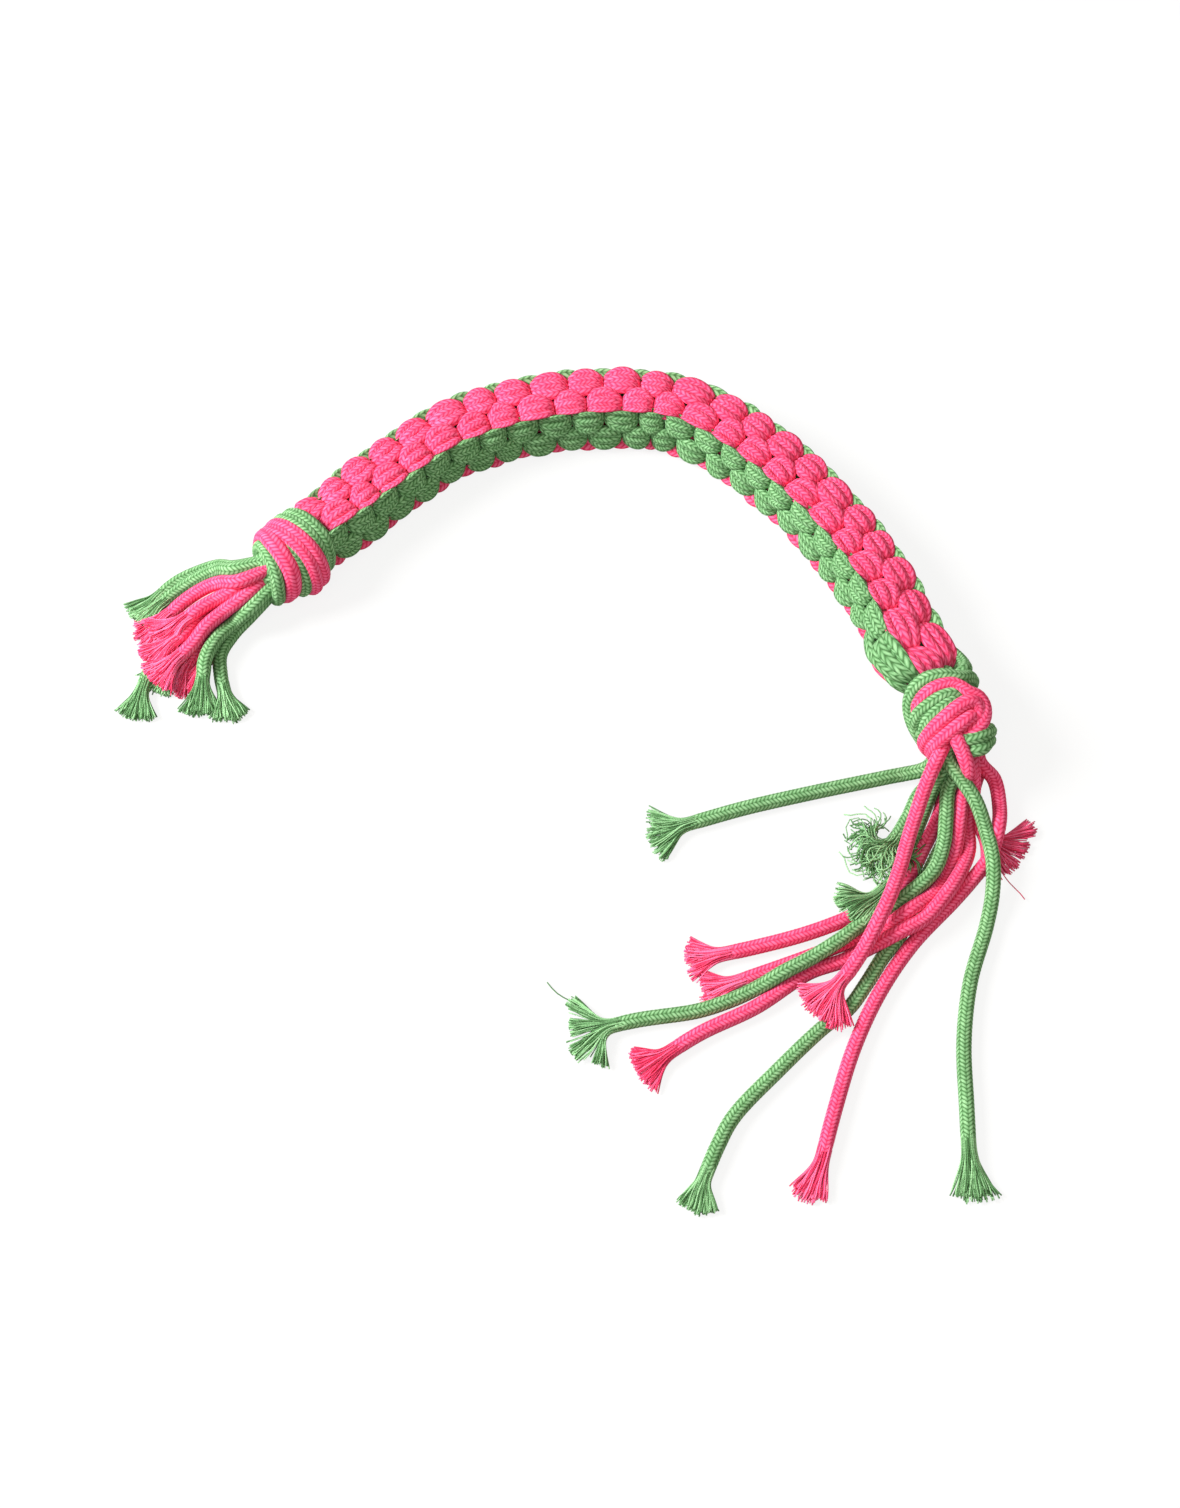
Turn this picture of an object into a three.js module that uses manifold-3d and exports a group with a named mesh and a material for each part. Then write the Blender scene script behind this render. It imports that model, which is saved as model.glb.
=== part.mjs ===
// Rope tug toy for a dog, in millimetres, +Z up, lying on the plane z = 0.
// Twelve braided cotton cords, six pink and six green, are worked in four bundles of three
// into a square crown sinnet. All twelve are knotted at each end, and their frayed tails are left long.
import * as THREE from "three";
import { mergeVertices } from "three/addons/utils/BufferGeometryUtils.js";
import Module from "manifold-3d";

const wasm = await Module();
wasm.setup();

// Driving dimensions of the cord
const CORD_DIAMETER = 4.7;
const CORD_SIDES = 8;
const PIECE_GAP = 0.3;

// Driving dimensions of the sinnet
const SINNET_WIDTH = 23.5;
const CORE_WIDTH = 14.8;
const LAYER_HEIGHT = 6.3;
const LAYER_COUNT = 46;
const PASS_THICKNESS = 2.4;
const CENTRE_HOLE = 1.8;
const STITCH_GAP = 0.5;
const STITCH_ROUND = 2.3;
const STITCH_ROLL_OFF = 1.4;
const DRAWN_IN_LENGTH = 20;
const END_WIDTH_SHARE = 0.84;
const ROUTE_SAMPLE = 0.5;

// How deep the sinnet is flattened where it bears on the floor, and how far a cut overruns
const SINNET_FLAT = 0.5;
const OVERRUN = 4;

// Driving dimensions of the knots
const KNOT_HALF_LENGTH = 15;
const WRAP_DIAMETER = 4.1;
const WRAP_GAP = 0.45;
const WRAP_TILT = 1.4;
const WRAP_FLAT = 0.4;
const WRAP_STEPS = 16;
const WRAP_SIDES = 6;
const HEART_SIDES = 16;
const HEART_STATIONS = 6;

// Driving dimensions of the tails
const TAIL_STEP = 9;
const NECK_LENGTH = 4;

// The sinnet's centreline from the short-tailed end to the long-tailed end, seen from above
const SINNET_ROUTE = [
  [-91, 92],
  [-68, 114.5],
  [-45, 133],
  [-15, 144],
  [15, 147.5],
  [43, 144],
  [73, 123.5],
  [98, 94],
  [112, 70],
  [121, 47],
  [127.5, 33],
];

// How far the sinnet is rolled about its own line, in degrees, at evenly spaced places along it
const ROLL_DEGREES = [8, 5, 6.5, 8, 6.5, 12.5, 22];

const PINK = new THREE.Color(0xfb5a8c);
const GREEN = new THREE.Color(0x6cb37c);

const WRAP_COLOURS = { pink: PINK, green: GREEN };

// Each knot: the radius of its heart on the sinnet's side, in the middle and on the tails' side,
// the spacing and the squeeze of the cords where they leave it, and its wraps with their turns
const KNOTS = {
  left: {
    heartRadii: [8.6, 10.2, 8],
    slotSpacing: 3.9,
    squeezeShare: 0.77,
    wraps: [
      ["green", 1],
      ["pink", 3],
      ["green", 1],
    ],
  },
  right: {
    heartRadii: [9.6, 11.6, 9.6],
    slotSpacing: 4.7,
    squeezeShare: 0.78,
    wraps: [
      ["green", 1],
      ["pink", 1],
      ["green", 1],
      ["pink", 2],
    ],
  },
};

// Each tail: its place in the bundle that leaves the knot, across and up in slot spacings,
// how wide its frayed end spreads as a share of the cord, and its route on the floor
const TAILS = {
  left: {
    green_1: { slot: [-1.5, 0.5], spread: 1.15, route: [
      [-121.5, 78, 13], [-128, 80.5, 7], [-136, 80, 3], [-144, 75.5, 2.5], [-151.5, 70.5, 2.5], [-159.5, 66, 2.5],
    ] },
    green_2: { slot: [-0.5, 1.5], spread: 1.15, route: [
      [-122, 72.5, 19], [-127, 74.5, 12.5], [-133.5, 74.5, 6.5], [-140.5, 71.5, 2.5], [-148, 66.5, 2.5],
      [-155.5, 61.5, 2.5],
    ] },
    green_3: { slot: [1.5, 0.5], spread: 1.3, route: [
      [-114.5, 61, 13.5], [-121, 58, 8], [-127, 51.5, 8], [-130.5, 43, 8], [-131.5, 34, 6], [-134.5, 26.5, 3],
    ] },
    green_4: { slot: [1.5, -0.5], spread: 1.5, route: [
      [-113.5, 62, 7.5], [-119, 57, 3], [-123.5, 49.5, 2.5], [-124.5, 41, 2.5], [-122.5, 32.5, 2.5],
      [-119, 24, 2.5],
    ] },
    green_5: { slot: [-1.5, -0.5], spread: 1.6, route: [
      [-121.5, 74, 6.5], [-128.5, 70, 2.5], [-135, 63.5, 2.5], [-141.5, 57, 2.5], [-147, 49.5, 2.5],
      [-151, 41.5, 2.5], [-153.5, 33, 2.5], [-156.5, 24.5, 2.5],
    ] },
    green_6: { slot: [-0.5, -1.5], spread: 1.1, route: [
      [-120, 69.5, 3.5], [-127, 64, 2.5], [-133.5, 57.5, 2.5], [-139.5, 50.5, 2.5], [-144.5, 42.5, 2.5],
      [-147.5, 34, 2.5],
    ] },
    pink_1: { slot: [0.5, 1.5], spread: 1.15, route: [
      [-120, 67, 20.5], [-127.5, 68.5, 16], [-134, 68, 8.5], [-141.5, 64.5, 3.5], [-149.5, 59, 2.5],
      [-157.5, 54, 2.5],
    ] },
    pink_2: { slot: [-0.5, 0.5], spread: 1.1, route: [
      [-121.5, 67.5, 14], [-129, 62, 12], [-136, 55.5, 13], [-143.5, 50.5, 11.5], [-151, 46.5, 7.5],
    ] },
    pink_3: { slot: [0.5, 0.5], spread: 1.1, route: [
      [-118, 64, 16], [-124, 59.5, 12.5], [-130.5, 53.5, 11.5], [-135, 47, 9], [-140, 40.5, 8], [-145, 33.5, 7.5],
    ] },
    pink_4: { slot: [-0.5, -0.5], spread: 1.1, route: [
      [-121, 69.5, 9.5], [-128.5, 66, 7.5], [-134, 60, 7.5], [-138, 52.5, 8], [-143, 45.5, 8], [-149, 39, 7.5],
    ] },
    pink_5: { slot: [0.5, -0.5], spread: 1.1, route: [
      [-117.5, 65, 9.5], [-124.5, 62, 7.5], [-130.5, 56, 6.5], [-134.5, 49, 4], [-138.5, 42, 2.5], [-142, 34, 2.5],
    ] },
    pink_6: { slot: [0.5, -1.5], spread: 1.1, route: [
      [-117, 65, 3], [-124, 59.5, 2.5], [-128.5, 51, 2.5], [-132.5, 42, 2.5], [-136.5, 33.5, 2.5],
    ] },
  },
  right: {
    green_1: { slot: [-1.7, -0.5], spread: 1.9, route: [
      [128, 1, 7], [118, -0.5, 2.5], [106.5, -3, 2.5], [84.5, -8, 2.5], [62.5, -13.5, 2.5], [41, -20, 2.5],
      [30, -22.5, 2.5],
    ] },
    green_2: { slot: [-1, -1.3], spread: 1.3, route: [
      [132, -0.5, 3.5], [123.5, -8, 2.5], [118, -18, 2.5], [109.5, -25.5, 2.5], [99.5, -31.5, 2.5],
    ] },
    green_3: { slot: [-0.8, 0.2], spread: 1.3, route: [
      [135, -3, 13.5], [129, -8.5, 6], [124.5, -17.5, 2.5], [119.5, -27.5, 2.5], [114.5, -37.5, 2.5],
      [106.5, -44.5, 2.5], [96.5, -50, 2.5],
    ] },
    green_4: { slot: [0.4, 0.6], spread: 1.8, route: [
      [142, -1.5, 15.5], [136.5, -10.5, 13], [132.5, -19, 9], [131, -30, 8], [127, -40, 8], [119, -47.5, 7.5],
      [110.5, -53.5, 5.5], [101.5, -59.5, 7.5], [93, -66, 8], [83.5, -72, 7.5], [74, -77, 7], [65, -81.5, 3.5],
      [55, -86, 2.5], [44.5, -89.5, 2.5], [23, -93, 2.5], [2, -98.5, 2.5],
    ] },
    green_5: { slot: [0.1, -1.3], spread: 1.6, route: [
      [140, 0, 3.5], [138.5, -11, 2.5], [134.5, -21.5, 2.5], [129.5, -31.5, 2.5], [124.5, -41.5, 2.5],
      [119.5, -51, 2.5], [115, -61.5, 2.5], [108.5, -70, 2.5], [102.5, -79.5, 2.5], [96, -88.5, 2.5],
      [87, -95.5, 2.5], [71, -111, 2.5], [56, -127, 2.5], [50.5, -137, 2.5], [42, -157.5, 2.5],
    ] },
    green_6: { slot: [1, 1.2], spread: 1.6, route: [
      [146, -0.5, 20.5], [144, -9, 15], [144.5, -18, 9.5], [144.5, -28.5, 8], [147.5, -38.5, 7.5],
      [146.5, -48, 2.5], [144, -58.5, 2.5], [138, -79, 2.5], [134.5, -100.5, 2.5], [134, -122, 2.5],
      [134, -143.5, 2.5], [135, -154, 2.5],
    ] },
    pink_1: { slot: [1.2, -1], spread: 1.6, route: [
      [146, 3, 4.5], [145.5, -7.5, 2.5], [148, -17.5, 2.5], [152, -26, 2.5], [158, -35, 2.5],
    ] },
    pink_2: { slot: [-0.2, 1.5], spread: 1.5, route: [
      [136.5, -2, 20.5], [131.5, -8.5, 14], [128, -16, 7.5], [124, -26, 7.5], [119.5, -36, 7.5],
      [114.5, -45, 10], [111, -55, 11.5], [107, -65, 11.5], [102.5, -73.5, 7], [95.5, -81, 3.5], [87, -87.5, 2.5],
    ] },
    pink_3: { slot: [-0.3, -0.5], spread: 1.5, route: [
      [138, -1.5, 9.5], [133.5, -9, 2.5], [130, -18.5, 2.5], [125, -28.5, 2.5], [120, -38, 2.5],
      [113.5, -46.5, 2.5], [104.5, -52, 2.5], [84.5, -60.5, 2.5], [63.5, -66.5, 2.5], [42.5, -71, 2.5],
    ] },
    pink_4: { slot: [0.5, -0.4], spread: 1.5, route: [
      [144, 0, 9.5], [139.5, -9, 8.5], [137.5, -19.5, 7.5], [135.5, -30, 5], [131.5, -39.5, 2.5], [125.5, -48.5, 5.5],
      [117.5, -55, 8.5], [109, -60, 4], [99, -63.5, 2.5], [78.5, -71.5, 2.5], [58, -79, 2.5], [47.5, -82.5, 2.5],
    ] },
    pink_5: { slot: [1.2, 0], spread: 1.7, route: [
      [147, 0, 14.5], [145, -9.5, 8.5], [141, -18.5, 3.5], [140.5, -29.5, 2.5], [136.5, -39.5, 5.5],
      [130.5, -49, 7.5], [123, -57.5, 7.5], [113.5, -63, 8], [104, -67, 4], [94, -71.5, 2.5], [83, -75.5, 2.5],
      [64.5, -88, 2.5], [44.5, -98, 2.5], [25.5, -111, 2.5],
    ] },
    pink_6: { slot: [1.9, 0.6], spread: 1.4, route: [
      [151, 5.5, 12], [151, -3, 5.5], [151.5, -13.5, 5], [150.5, -24, 8], [147.5, -32.5, 2.5], [141, -41, 2.5],
      [134, -49, 2.5], [119, -65, 2.5], [107, -82.5, 2.5], [97.5, -102, 2.5], [90.5, -122.5, 2.5],
      [84.5, -143.5, 2.5], [82, -154, 2.5],
    ] },
  },
};

const UP = new THREE.Vector3(0, 0, 1);
const cordRadius = CORD_DIAMETER / 2;
const wrapRadius = WRAP_DIAMETER / 2;
const sinnetLength = LAYER_HEIGHT * LAYER_COUNT;

// Closed solids

// Six times the volume that a triangle's corners span with the origin, with its sign.
function cornerVolume(a, b, c) {
  return a.dot(b.clone().cross(c));
}

// A closed skin over rings of equally many points, with a flat cap on the first and the last.
function skinOver(rings) {
  const sides = rings[0].length;
  const points = rings.flat();
  const faces = [];
  for (let ring = 0; ring + 1 < rings.length; ring += 1) {
    for (let side = 0; side < sides; side += 1) {
      const here = ring * sides + side;
      const beside = ring * sides + ((side + 1) % sides);
      faces.push([here, beside, beside + sides], [here, beside + sides, here + sides]);
    }
  }
  const last = (rings.length - 1) * sides;
  for (let side = 1; side + 1 < sides; side += 1) {
    faces.push([0, side + 1, side], [last, last + side, last + side + 1]);
  }
  const volume = faces.reduce((sum, [a, b, c]) => sum + cornerVolume(points[a], points[b], points[c]), 0);
  const outward = volume > 0 ? faces : faces.map(([a, b, c]) => [a, c, b]);
  const geometry = new THREE.BufferGeometry().setFromPoints(points);
  geometry.setIndex(outward.flat());
  return geometry;
}

// A geometry as a solid that can be cut.
function toSolid(geometry) {
  const bare = geometry.clone();
  bare.deleteAttribute("normal");
  bare.deleteAttribute("uv");
  const merged = mergeVertices(bare);
  return new wasm.Manifold(
    new wasm.Mesh({
      numProp: 3,
      vertProperties: merged.getAttribute("position").array,
      triVerts: new Uint32Array(merged.getIndex().array),
    }),
  );
}

// A cut solid back as a geometry.
function fromSolid(solid) {
  const mesh = solid.getMesh();
  const geometry = new THREE.BufferGeometry();
  geometry.setAttribute("position", new THREE.BufferAttribute(mesh.vertProperties, mesh.numProp));
  geometry.setIndex(new THREE.BufferAttribute(mesh.triVerts, 1));
  return geometry;
}

// What lies above the floor: a slab under the piece takes off all that reaches below it.
function flattenOnFloor(geometry) {
  geometry.computeBoundingBox();
  const box = geometry.boundingBox;
  if (box.min.z >= 0) {
    return geometry;
  }
  const size = box.getSize(new THREE.Vector3());
  const middle = box.getCenter(new THREE.Vector3());
  const slab = new THREE.BoxGeometry(size.x + OVERRUN, size.y + OVERRUN, OVERRUN);
  slab.translate(middle.x, middle.y, -OVERRUN / 2);
  return fromSolid(toSolid(geometry).subtract(toSolid(slab)));
}

function makePiece(name, geometry, colour) {
  const material = new THREE.MeshStandardMaterial({ color: colour, roughness: 0.95, metalness: 0 });
  const piece = new THREE.Mesh(geometry, material);
  piece.name = name;
  return piece;
}

// The sinnet's own frame

const floorRoute = new THREE.CatmullRomCurve3(SINNET_ROUTE.map(([x, y]) => new THREE.Vector3(x, y, 0)));
floorRoute.arcLengthDivisions = Math.ceil(sinnetLength / ROUTE_SAMPLE);

const halfWidth = SINNET_WIDTH / 2;
const coreReach = CORE_WIDTH / 2;
const stitchFlat = halfWidth - 2 * STITCH_ROUND;

// The value at a share of the way along a list of evenly spaced values.
function blendAlong(values, share) {
  const place = THREE.MathUtils.clamp(share, 0, 1) * (values.length - 1);
  const index = Math.min(Math.floor(place), values.length - 2);
  return THREE.MathUtils.lerp(values[index], values[index + 1], place - index);
}

// The height of a knot's axis, where its fattest wrap just flattens on the floor.
function knotHeight(knot) {
  return knot.heartRadii[1] + PIECE_GAP + WRAP_DIAMETER - WRAP_FLAT;
}

// How much of an end's shape holds at this distance from that end: all of it at 0, none past the draw-in.
function endShare(distance) {
  return 1 - THREE.MathUtils.smoothstep(distance, 0, DRAWN_IN_LENGTH);
}

// The sinnet's centre, with its lowest stitch just flattened on the floor and its ends up at the knots.
function centreAt(along) {
  const share = along / sinnetLength;
  const roll = THREE.MathUtils.degToRad(blendAlong(ROLL_DEGREES, share));
  const seat = halfWidth * Math.cos(roll) + stitchFlat * Math.sin(roll) - SINNET_FLAT;
  const rise =
    endShare(along) * (knotHeight(KNOTS.left) - seat) +
    endShare(sinnetLength - along) * (knotHeight(KNOTS.right) - seat);
  const centre = floorRoute.getPointAt(THREE.MathUtils.clamp(share, 0, 1));
  return centre.setZ(seat + rise);
}

// Centre, direction, and the two directions that the stitches' faces look: front, and top.
function frameAt(along) {
  const centre = centreAt(along);
  const before = centreAt(Math.max(along - ROUTE_SAMPLE, 0));
  const after = centreAt(Math.min(along + ROUTE_SAMPLE, sinnetLength));
  const direction = after.sub(before).normalize();
  const top = UP.clone().addScaledVector(direction, -UP.dot(direction)).normalize();
  const front = direction.clone().cross(top);
  const roll = THREE.MathUtils.degToRad(blendAlong(ROLL_DEGREES, along / sinnetLength));
  const ends = endShare(along) + endShare(sinnetLength - along);
  return {
    centre,
    direction,
    front: front.clone().multiplyScalar(Math.cos(roll)).addScaledVector(top, Math.sin(roll)),
    top: top.clone().multiplyScalar(Math.cos(roll)).addScaledVector(front, -Math.sin(roll)),
    width: 1 - (1 - END_WIDTH_SHARE) * ends,
  };
}

// One bundle of three cords

const passLevels = {
  under: LAYER_HEIGHT / 4,
  over: (LAYER_HEIGHT * 3) / 4,
};
const halfPass = PASS_THICKNESS / 2;
const halfGap = STITCH_GAP / 2;
const corner = halfWidth - STITCH_ROUND;

// Six points round the bundle, each as its place across the lane, its reach from the sinnet's axis
// and its place along the sinnet. The order is lane edge, first side, corner edge, second side.
function orderRing(laneEdge, sideA, cornerEdge, sideB) {
  return [laneEdge, sideA[0], sideA[1], cornerEdge, sideB[1], sideB[0]];
}

// A section of the bundle crossing inside the sinnet.
function passRing(reach, along) {
  const inner = CENTRE_HOLE / 2;
  const outer = coreReach - STITCH_GAP;
  const upper = [
    [inner + halfPass / 2, reach, along + halfPass],
    [outer - halfPass / 2, reach, along + halfPass],
  ];
  const lower = [
    [inner + halfPass / 2, reach, along - halfPass],
    [outer - halfPass / 2, reach, along - halfPass],
  ];
  return { laneEdge: [inner, reach, along], cornerEdge: [outer, reach, along], upper, lower };
}

// A section of the bundle where it turns between a crossing and a stitch.
function foldRing(innerAlong, outerAlong) {
  const outerReach = halfWidth - STITCH_ROLL_OFF;
  const middleReach = (coreReach + outerReach) / 2;
  const middleAlong = (innerAlong + outerAlong) / 2;
  return {
    laneEdge: [halfGap, middleReach, middleAlong],
    cornerEdge: [coreReach - STITCH_GAP, middleReach, middleAlong],
    inner: [
      [STITCH_GAP, coreReach, innerAlong],
      [coreReach - STITCH_GAP, coreReach, innerAlong],
    ],
    outer: [
      [halfGap + STITCH_ROUND, outerReach, outerAlong],
      [stitchFlat - halfGap, outerReach, outerAlong],
    ],
  };
}

// A section through the middle of a stitch, where it stands proudest.
function stitchRing(along) {
  return {
    laneEdge: [halfGap, (coreReach + halfWidth) / 2, along],
    cornerEdge: [corner - halfGap, corner + halfGap, along],
    inner: [
      [STITCH_GAP, coreReach, along],
      [coreReach - STITCH_GAP, coreReach, along],
    ],
    outer: [
      [halfGap + STITCH_ROUND, halfWidth, along],
      [stitchFlat, halfWidth, along],
    ],
  };
}

// The bundle's rings through one layer: in over the first crossing bundle, out under the second,
// and up the face that it comes out on. The side that was on top ends up next to the core.
function layerRings(layer, travel) {
  const floor = layer * LAYER_HEIGHT;
  const over = floor + passLevels.over;
  const under = floor + passLevels.under;
  const roof = floor + LAYER_HEIGHT;
  const dropReach = (CENTRE_HOLE * 2) / 3;
  const enter = foldRing(over - halfPass, roof - halfGap);
  const high = passRing(-dropReach, over);
  const low = passRing(dropReach, under);
  const leave = foldRing(under + halfPass, floor + halfGap);
  const climb = stitchRing(roof);
  const back = ([lane, reach, along]) => [lane, -reach * travel, along];
  const ahead = ([lane, reach, along]) => [lane, reach * travel, along];
  const even = layer % 2 === 0;
  const place = (laneEdge, topSide, cornerEdge, bottomSide, where) => {
    const sides = even ? [topSide, bottomSide] : [bottomSide, topSide];
    return orderRing(laneEdge, sides[0], cornerEdge, sides[1]).map(where);
  };
  const rings = [
    place(enter.laneEdge, enter.outer, enter.cornerEdge, enter.inner, back),
    place(high.laneEdge, high.upper, high.cornerEdge, high.lower, ahead),
    place(low.laneEdge, low.upper, low.cornerEdge, low.lower, ahead),
    place(leave.laneEdge, leave.inner, leave.cornerEdge, leave.outer, ahead),
  ];
  if (layer + 1 < LAYER_COUNT) {
    rings.push(place(climb.laneEdge, climb.inner, climb.cornerEdge, climb.outer, ahead));
  }
  return rings;
}

// A bundle keeps to one lane, on one side of the axis, and goes to and fro across the sinnet.
// Pink bundles cross between the top and the underside, green ones between the front and the back.
function makeBundle(name, colour, laneSide, firstTravel) {
  const crossesUpright = colour === PINK;
  const rings = [];
  for (let layer = 0; layer < LAYER_COUNT; layer += 1) {
    const travel = layer % 2 === 0 ? firstTravel : -firstTravel;
    rings.push(...layerRings(layer, travel));
  }
  const placed = rings.map((ring) =>
    ring.map(([lane, reach, along]) => {
      const frame = frameAt(along);
      const front = (crossesUpright ? lane * laneSide : reach) * frame.width;
      const top = (crossesUpright ? reach : lane * laneSide) * frame.width;
      return frame.centre.addScaledVector(frame.front, front).addScaledVector(frame.top, top);
    }),
  );
  return makePiece(name, flattenOnFloor(skinOver(placed)), colour);
}

// The knots

// Where a knot sits: its axis leads away from the sinnet, level, from the sinnet's own end.
function placeKnot(side) {
  const atStart = side === "left";
  const end = frameAt(atStart ? 0 : sinnetLength);
  const axis = end.direction.clone().multiplyScalar(atStart ? -1 : 1).setZ(0).normalize();
  const across = UP.clone().cross(axis);
  return { axis, across, centre: end.centre.addScaledVector(axis, KNOT_HALF_LENGTH) };
}

// The heart's radius at a distance along the axis: a smooth swell through its three named radii.
function heartRadius(knot, along) {
  const [start, middle, end] = knot.heartRadii;
  const share = THREE.MathUtils.clamp(along / KNOT_HALF_LENGTH, -1, 1);
  return middle + ((end - start) * share) / 2 + ((start + end) / 2 - middle) * share * share;
}

// The heart: all twelve cords, pressed together inside the wraps.
function makeHeart(side, seat) {
  const knot = KNOTS[side];
  const profile = [new THREE.Vector2(0, -KNOT_HALF_LENGTH)];
  for (let station = 0; station <= HEART_STATIONS; station += 1) {
    const along = KNOT_HALF_LENGTH * ((2 * station) / HEART_STATIONS - 1);
    profile.push(new THREE.Vector2(heartRadius(knot, along), along));
  }
  profile.push(new THREE.Vector2(0, KNOT_HALF_LENGTH));
  const heart = makePiece(`${side}_knot_heart`, new THREE.LatheGeometry(profile, HEART_SIDES), GREEN);
  heart.quaternion.setFromUnitVectors(new THREE.Vector3(0, 1, 0), seat.axis);
  heart.position.copy(seat.centre);
  return heart;
}

// A cord wound round the heart from one turn count to another, its ends a little short of its neighbours.
class WrapCurve extends THREE.Curve {
  constructor(knot, seat, fromTurn, toTurn, turnCount) {
    super();
    Object.assign(this, { knot, seat, fromTurn, toTurn, turnCount });
  }

  getPoint(share, target = new THREE.Vector3()) {
    const pitch = WRAP_DIAMETER + WRAP_GAP;
    const endRoom = PIECE_GAP / (2 * Math.PI * this.knot.heartRadii[0]);
    const turn = THREE.MathUtils.lerp(this.fromTurn + endRoom, this.toTurn - endRoom, share);
    const angle = turn * 2 * Math.PI;
    const along = (turn - this.turnCount / 2) * pitch + WRAP_TILT * Math.cos(angle);
    const reach = heartRadius(this.knot, along) + PIECE_GAP + wrapRadius;
    return target
      .copy(this.seat.centre)
      .addScaledVector(this.seat.axis, along)
      .addScaledVector(UP, -reach * Math.cos(angle))
      .addScaledVector(this.seat.across, reach * Math.sin(angle));
  }
}

// A regular section for a cord, with its corners on the cord's circle.
function cordSection(radius, sides) {
  const corners = [];
  for (let side = 0; side < sides; side += 1) {
    const angle = (2 * Math.PI * side) / sides;
    corners.push(new THREE.Vector2(radius * Math.cos(angle), radius * Math.sin(angle)));
  }
  return new THREE.Shape(corners);
}

// The least clear space between the turns of one wrap, measured on points a turn apart.
function leastWrapGap(curve, turns) {
  const points = curve.getPoints(WRAP_STEPS * turns);
  let least = Infinity;
  points.forEach((point, index) => {
    for (let later = index + WRAP_STEPS - 2; later < points.length; later += 1) {
      least = Math.min(least, point.distanceTo(points[later]) - WRAP_DIAMETER);
    }
  });
  return least;
}

function makeWraps(side, seat) {
  const knot = KNOTS[side];
  const turnCount = knot.wraps.reduce((sum, [, turns]) => sum + turns, 0);
  let fromTurn = 0;
  return knot.wraps.map(([colour, turns], index) => {
    const name = `${side}_knot_wrap_${index + 1}_${colour}`;
    const curve = new WrapCurve(knot, seat, fromTurn, fromTurn + turns, turnCount);
    fromTurn += turns;
    const tube = new THREE.ExtrudeGeometry(cordSection(wrapRadius, WRAP_SIDES), {
      steps: WRAP_STEPS * turns,
      extrudePath: curve,
      bevelEnabled: false,
    });
    if (turns > 1) {
      console.log(`${name}: least gap between turns ${leastWrapGap(curve, turns).toFixed(2)} mm`);
    }
    return makePiece(name, flattenOnFloor(tube), WRAP_COLOURS[colour]);
  });
}

// The tails

// Presses the rings of an extruded cord in or out: each ring has its share across and its share upright.
function shapeRings(geometry, centres, widths, heights) {
  const position = geometry.getAttribute("position");
  const point = new THREE.Vector3();
  for (let index = 0; index < position.count; index += 1) {
    point.fromBufferAttribute(position, index);
    let ring = 0;
    centres.forEach((centre, place) => {
      if (point.distanceTo(centre) < point.distanceTo(centres[ring])) {
        ring = place;
      }
    });
    const centre = centres[ring];
    point.sub(centre);
    point.set(point.x * widths[ring], point.y * widths[ring], point.z * heights[ring]).add(centre);
    position.setXYZ(index, point.x, point.y, point.z);
  }
  return geometry;
}

// One tail: squeezed where it leaves the knot, round along its length, and spread where it is frayed.
function makeTail(side, name, tail, seat) {
  const knot = KNOTS[side];
  const start = seat.centre
    .clone()
    .addScaledVector(seat.axis, KNOT_HALF_LENGTH + PIECE_GAP)
    .addScaledVector(seat.across, tail.slot[0] * knot.slotSpacing)
    .addScaledVector(UP, tail.slot[1] * knot.slotSpacing);
  const lead = start.clone().addScaledVector(seat.axis, NECK_LENGTH);
  const route = [start, lead, ...tail.route.map((point) => new THREE.Vector3(...point))];
  const curve = new THREE.CatmullRomCurve3(route);
  const steps = Math.round(curve.getLength() / TAIL_STEP);
  const tube = new THREE.ExtrudeGeometry(cordSection(cordRadius, CORD_SIDES), {
    steps,
    extrudePath: curve,
    bevelEnabled: false,
  });
  const widths = new Array(steps + 1).fill(1);
  widths[0] = knot.squeezeShare;
  widths[steps] = tail.spread;
  const heights = widths.map((width) => Math.min(width, 1));
  shapeRings(tube, curve.getSpacedPoints(steps), widths, heights);
  const colour = name.startsWith("pink") ? PINK : GREEN;
  return makePiece(`${side}_tail_${name}`, flattenOnFloor(tube), colour);
}

// The toy

const toy = new THREE.Group();

const sinnet = new THREE.Group();
sinnet.add(makeBundle("sinnet_bundle_pink_back", PINK, -1, -1));
sinnet.add(makeBundle("sinnet_bundle_pink_front", PINK, 1, 1));
sinnet.add(makeBundle("sinnet_bundle_green_lower", GREEN, -1, 1));
sinnet.add(makeBundle("sinnet_bundle_green_upper", GREEN, 1, -1));
toy.add(sinnet);

for (const side of Object.keys(KNOTS)) {
  const seat = placeKnot(side);
  const end = new THREE.Group();
  end.add(makeHeart(side, seat), ...makeWraps(side, seat));
  for (const [name, tail] of Object.entries(TAILS[side])) {
    end.add(makeTail(side, name, tail, seat));
  }
  toy.add(end);
}

export default toy;
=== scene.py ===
import functools
import math

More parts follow.
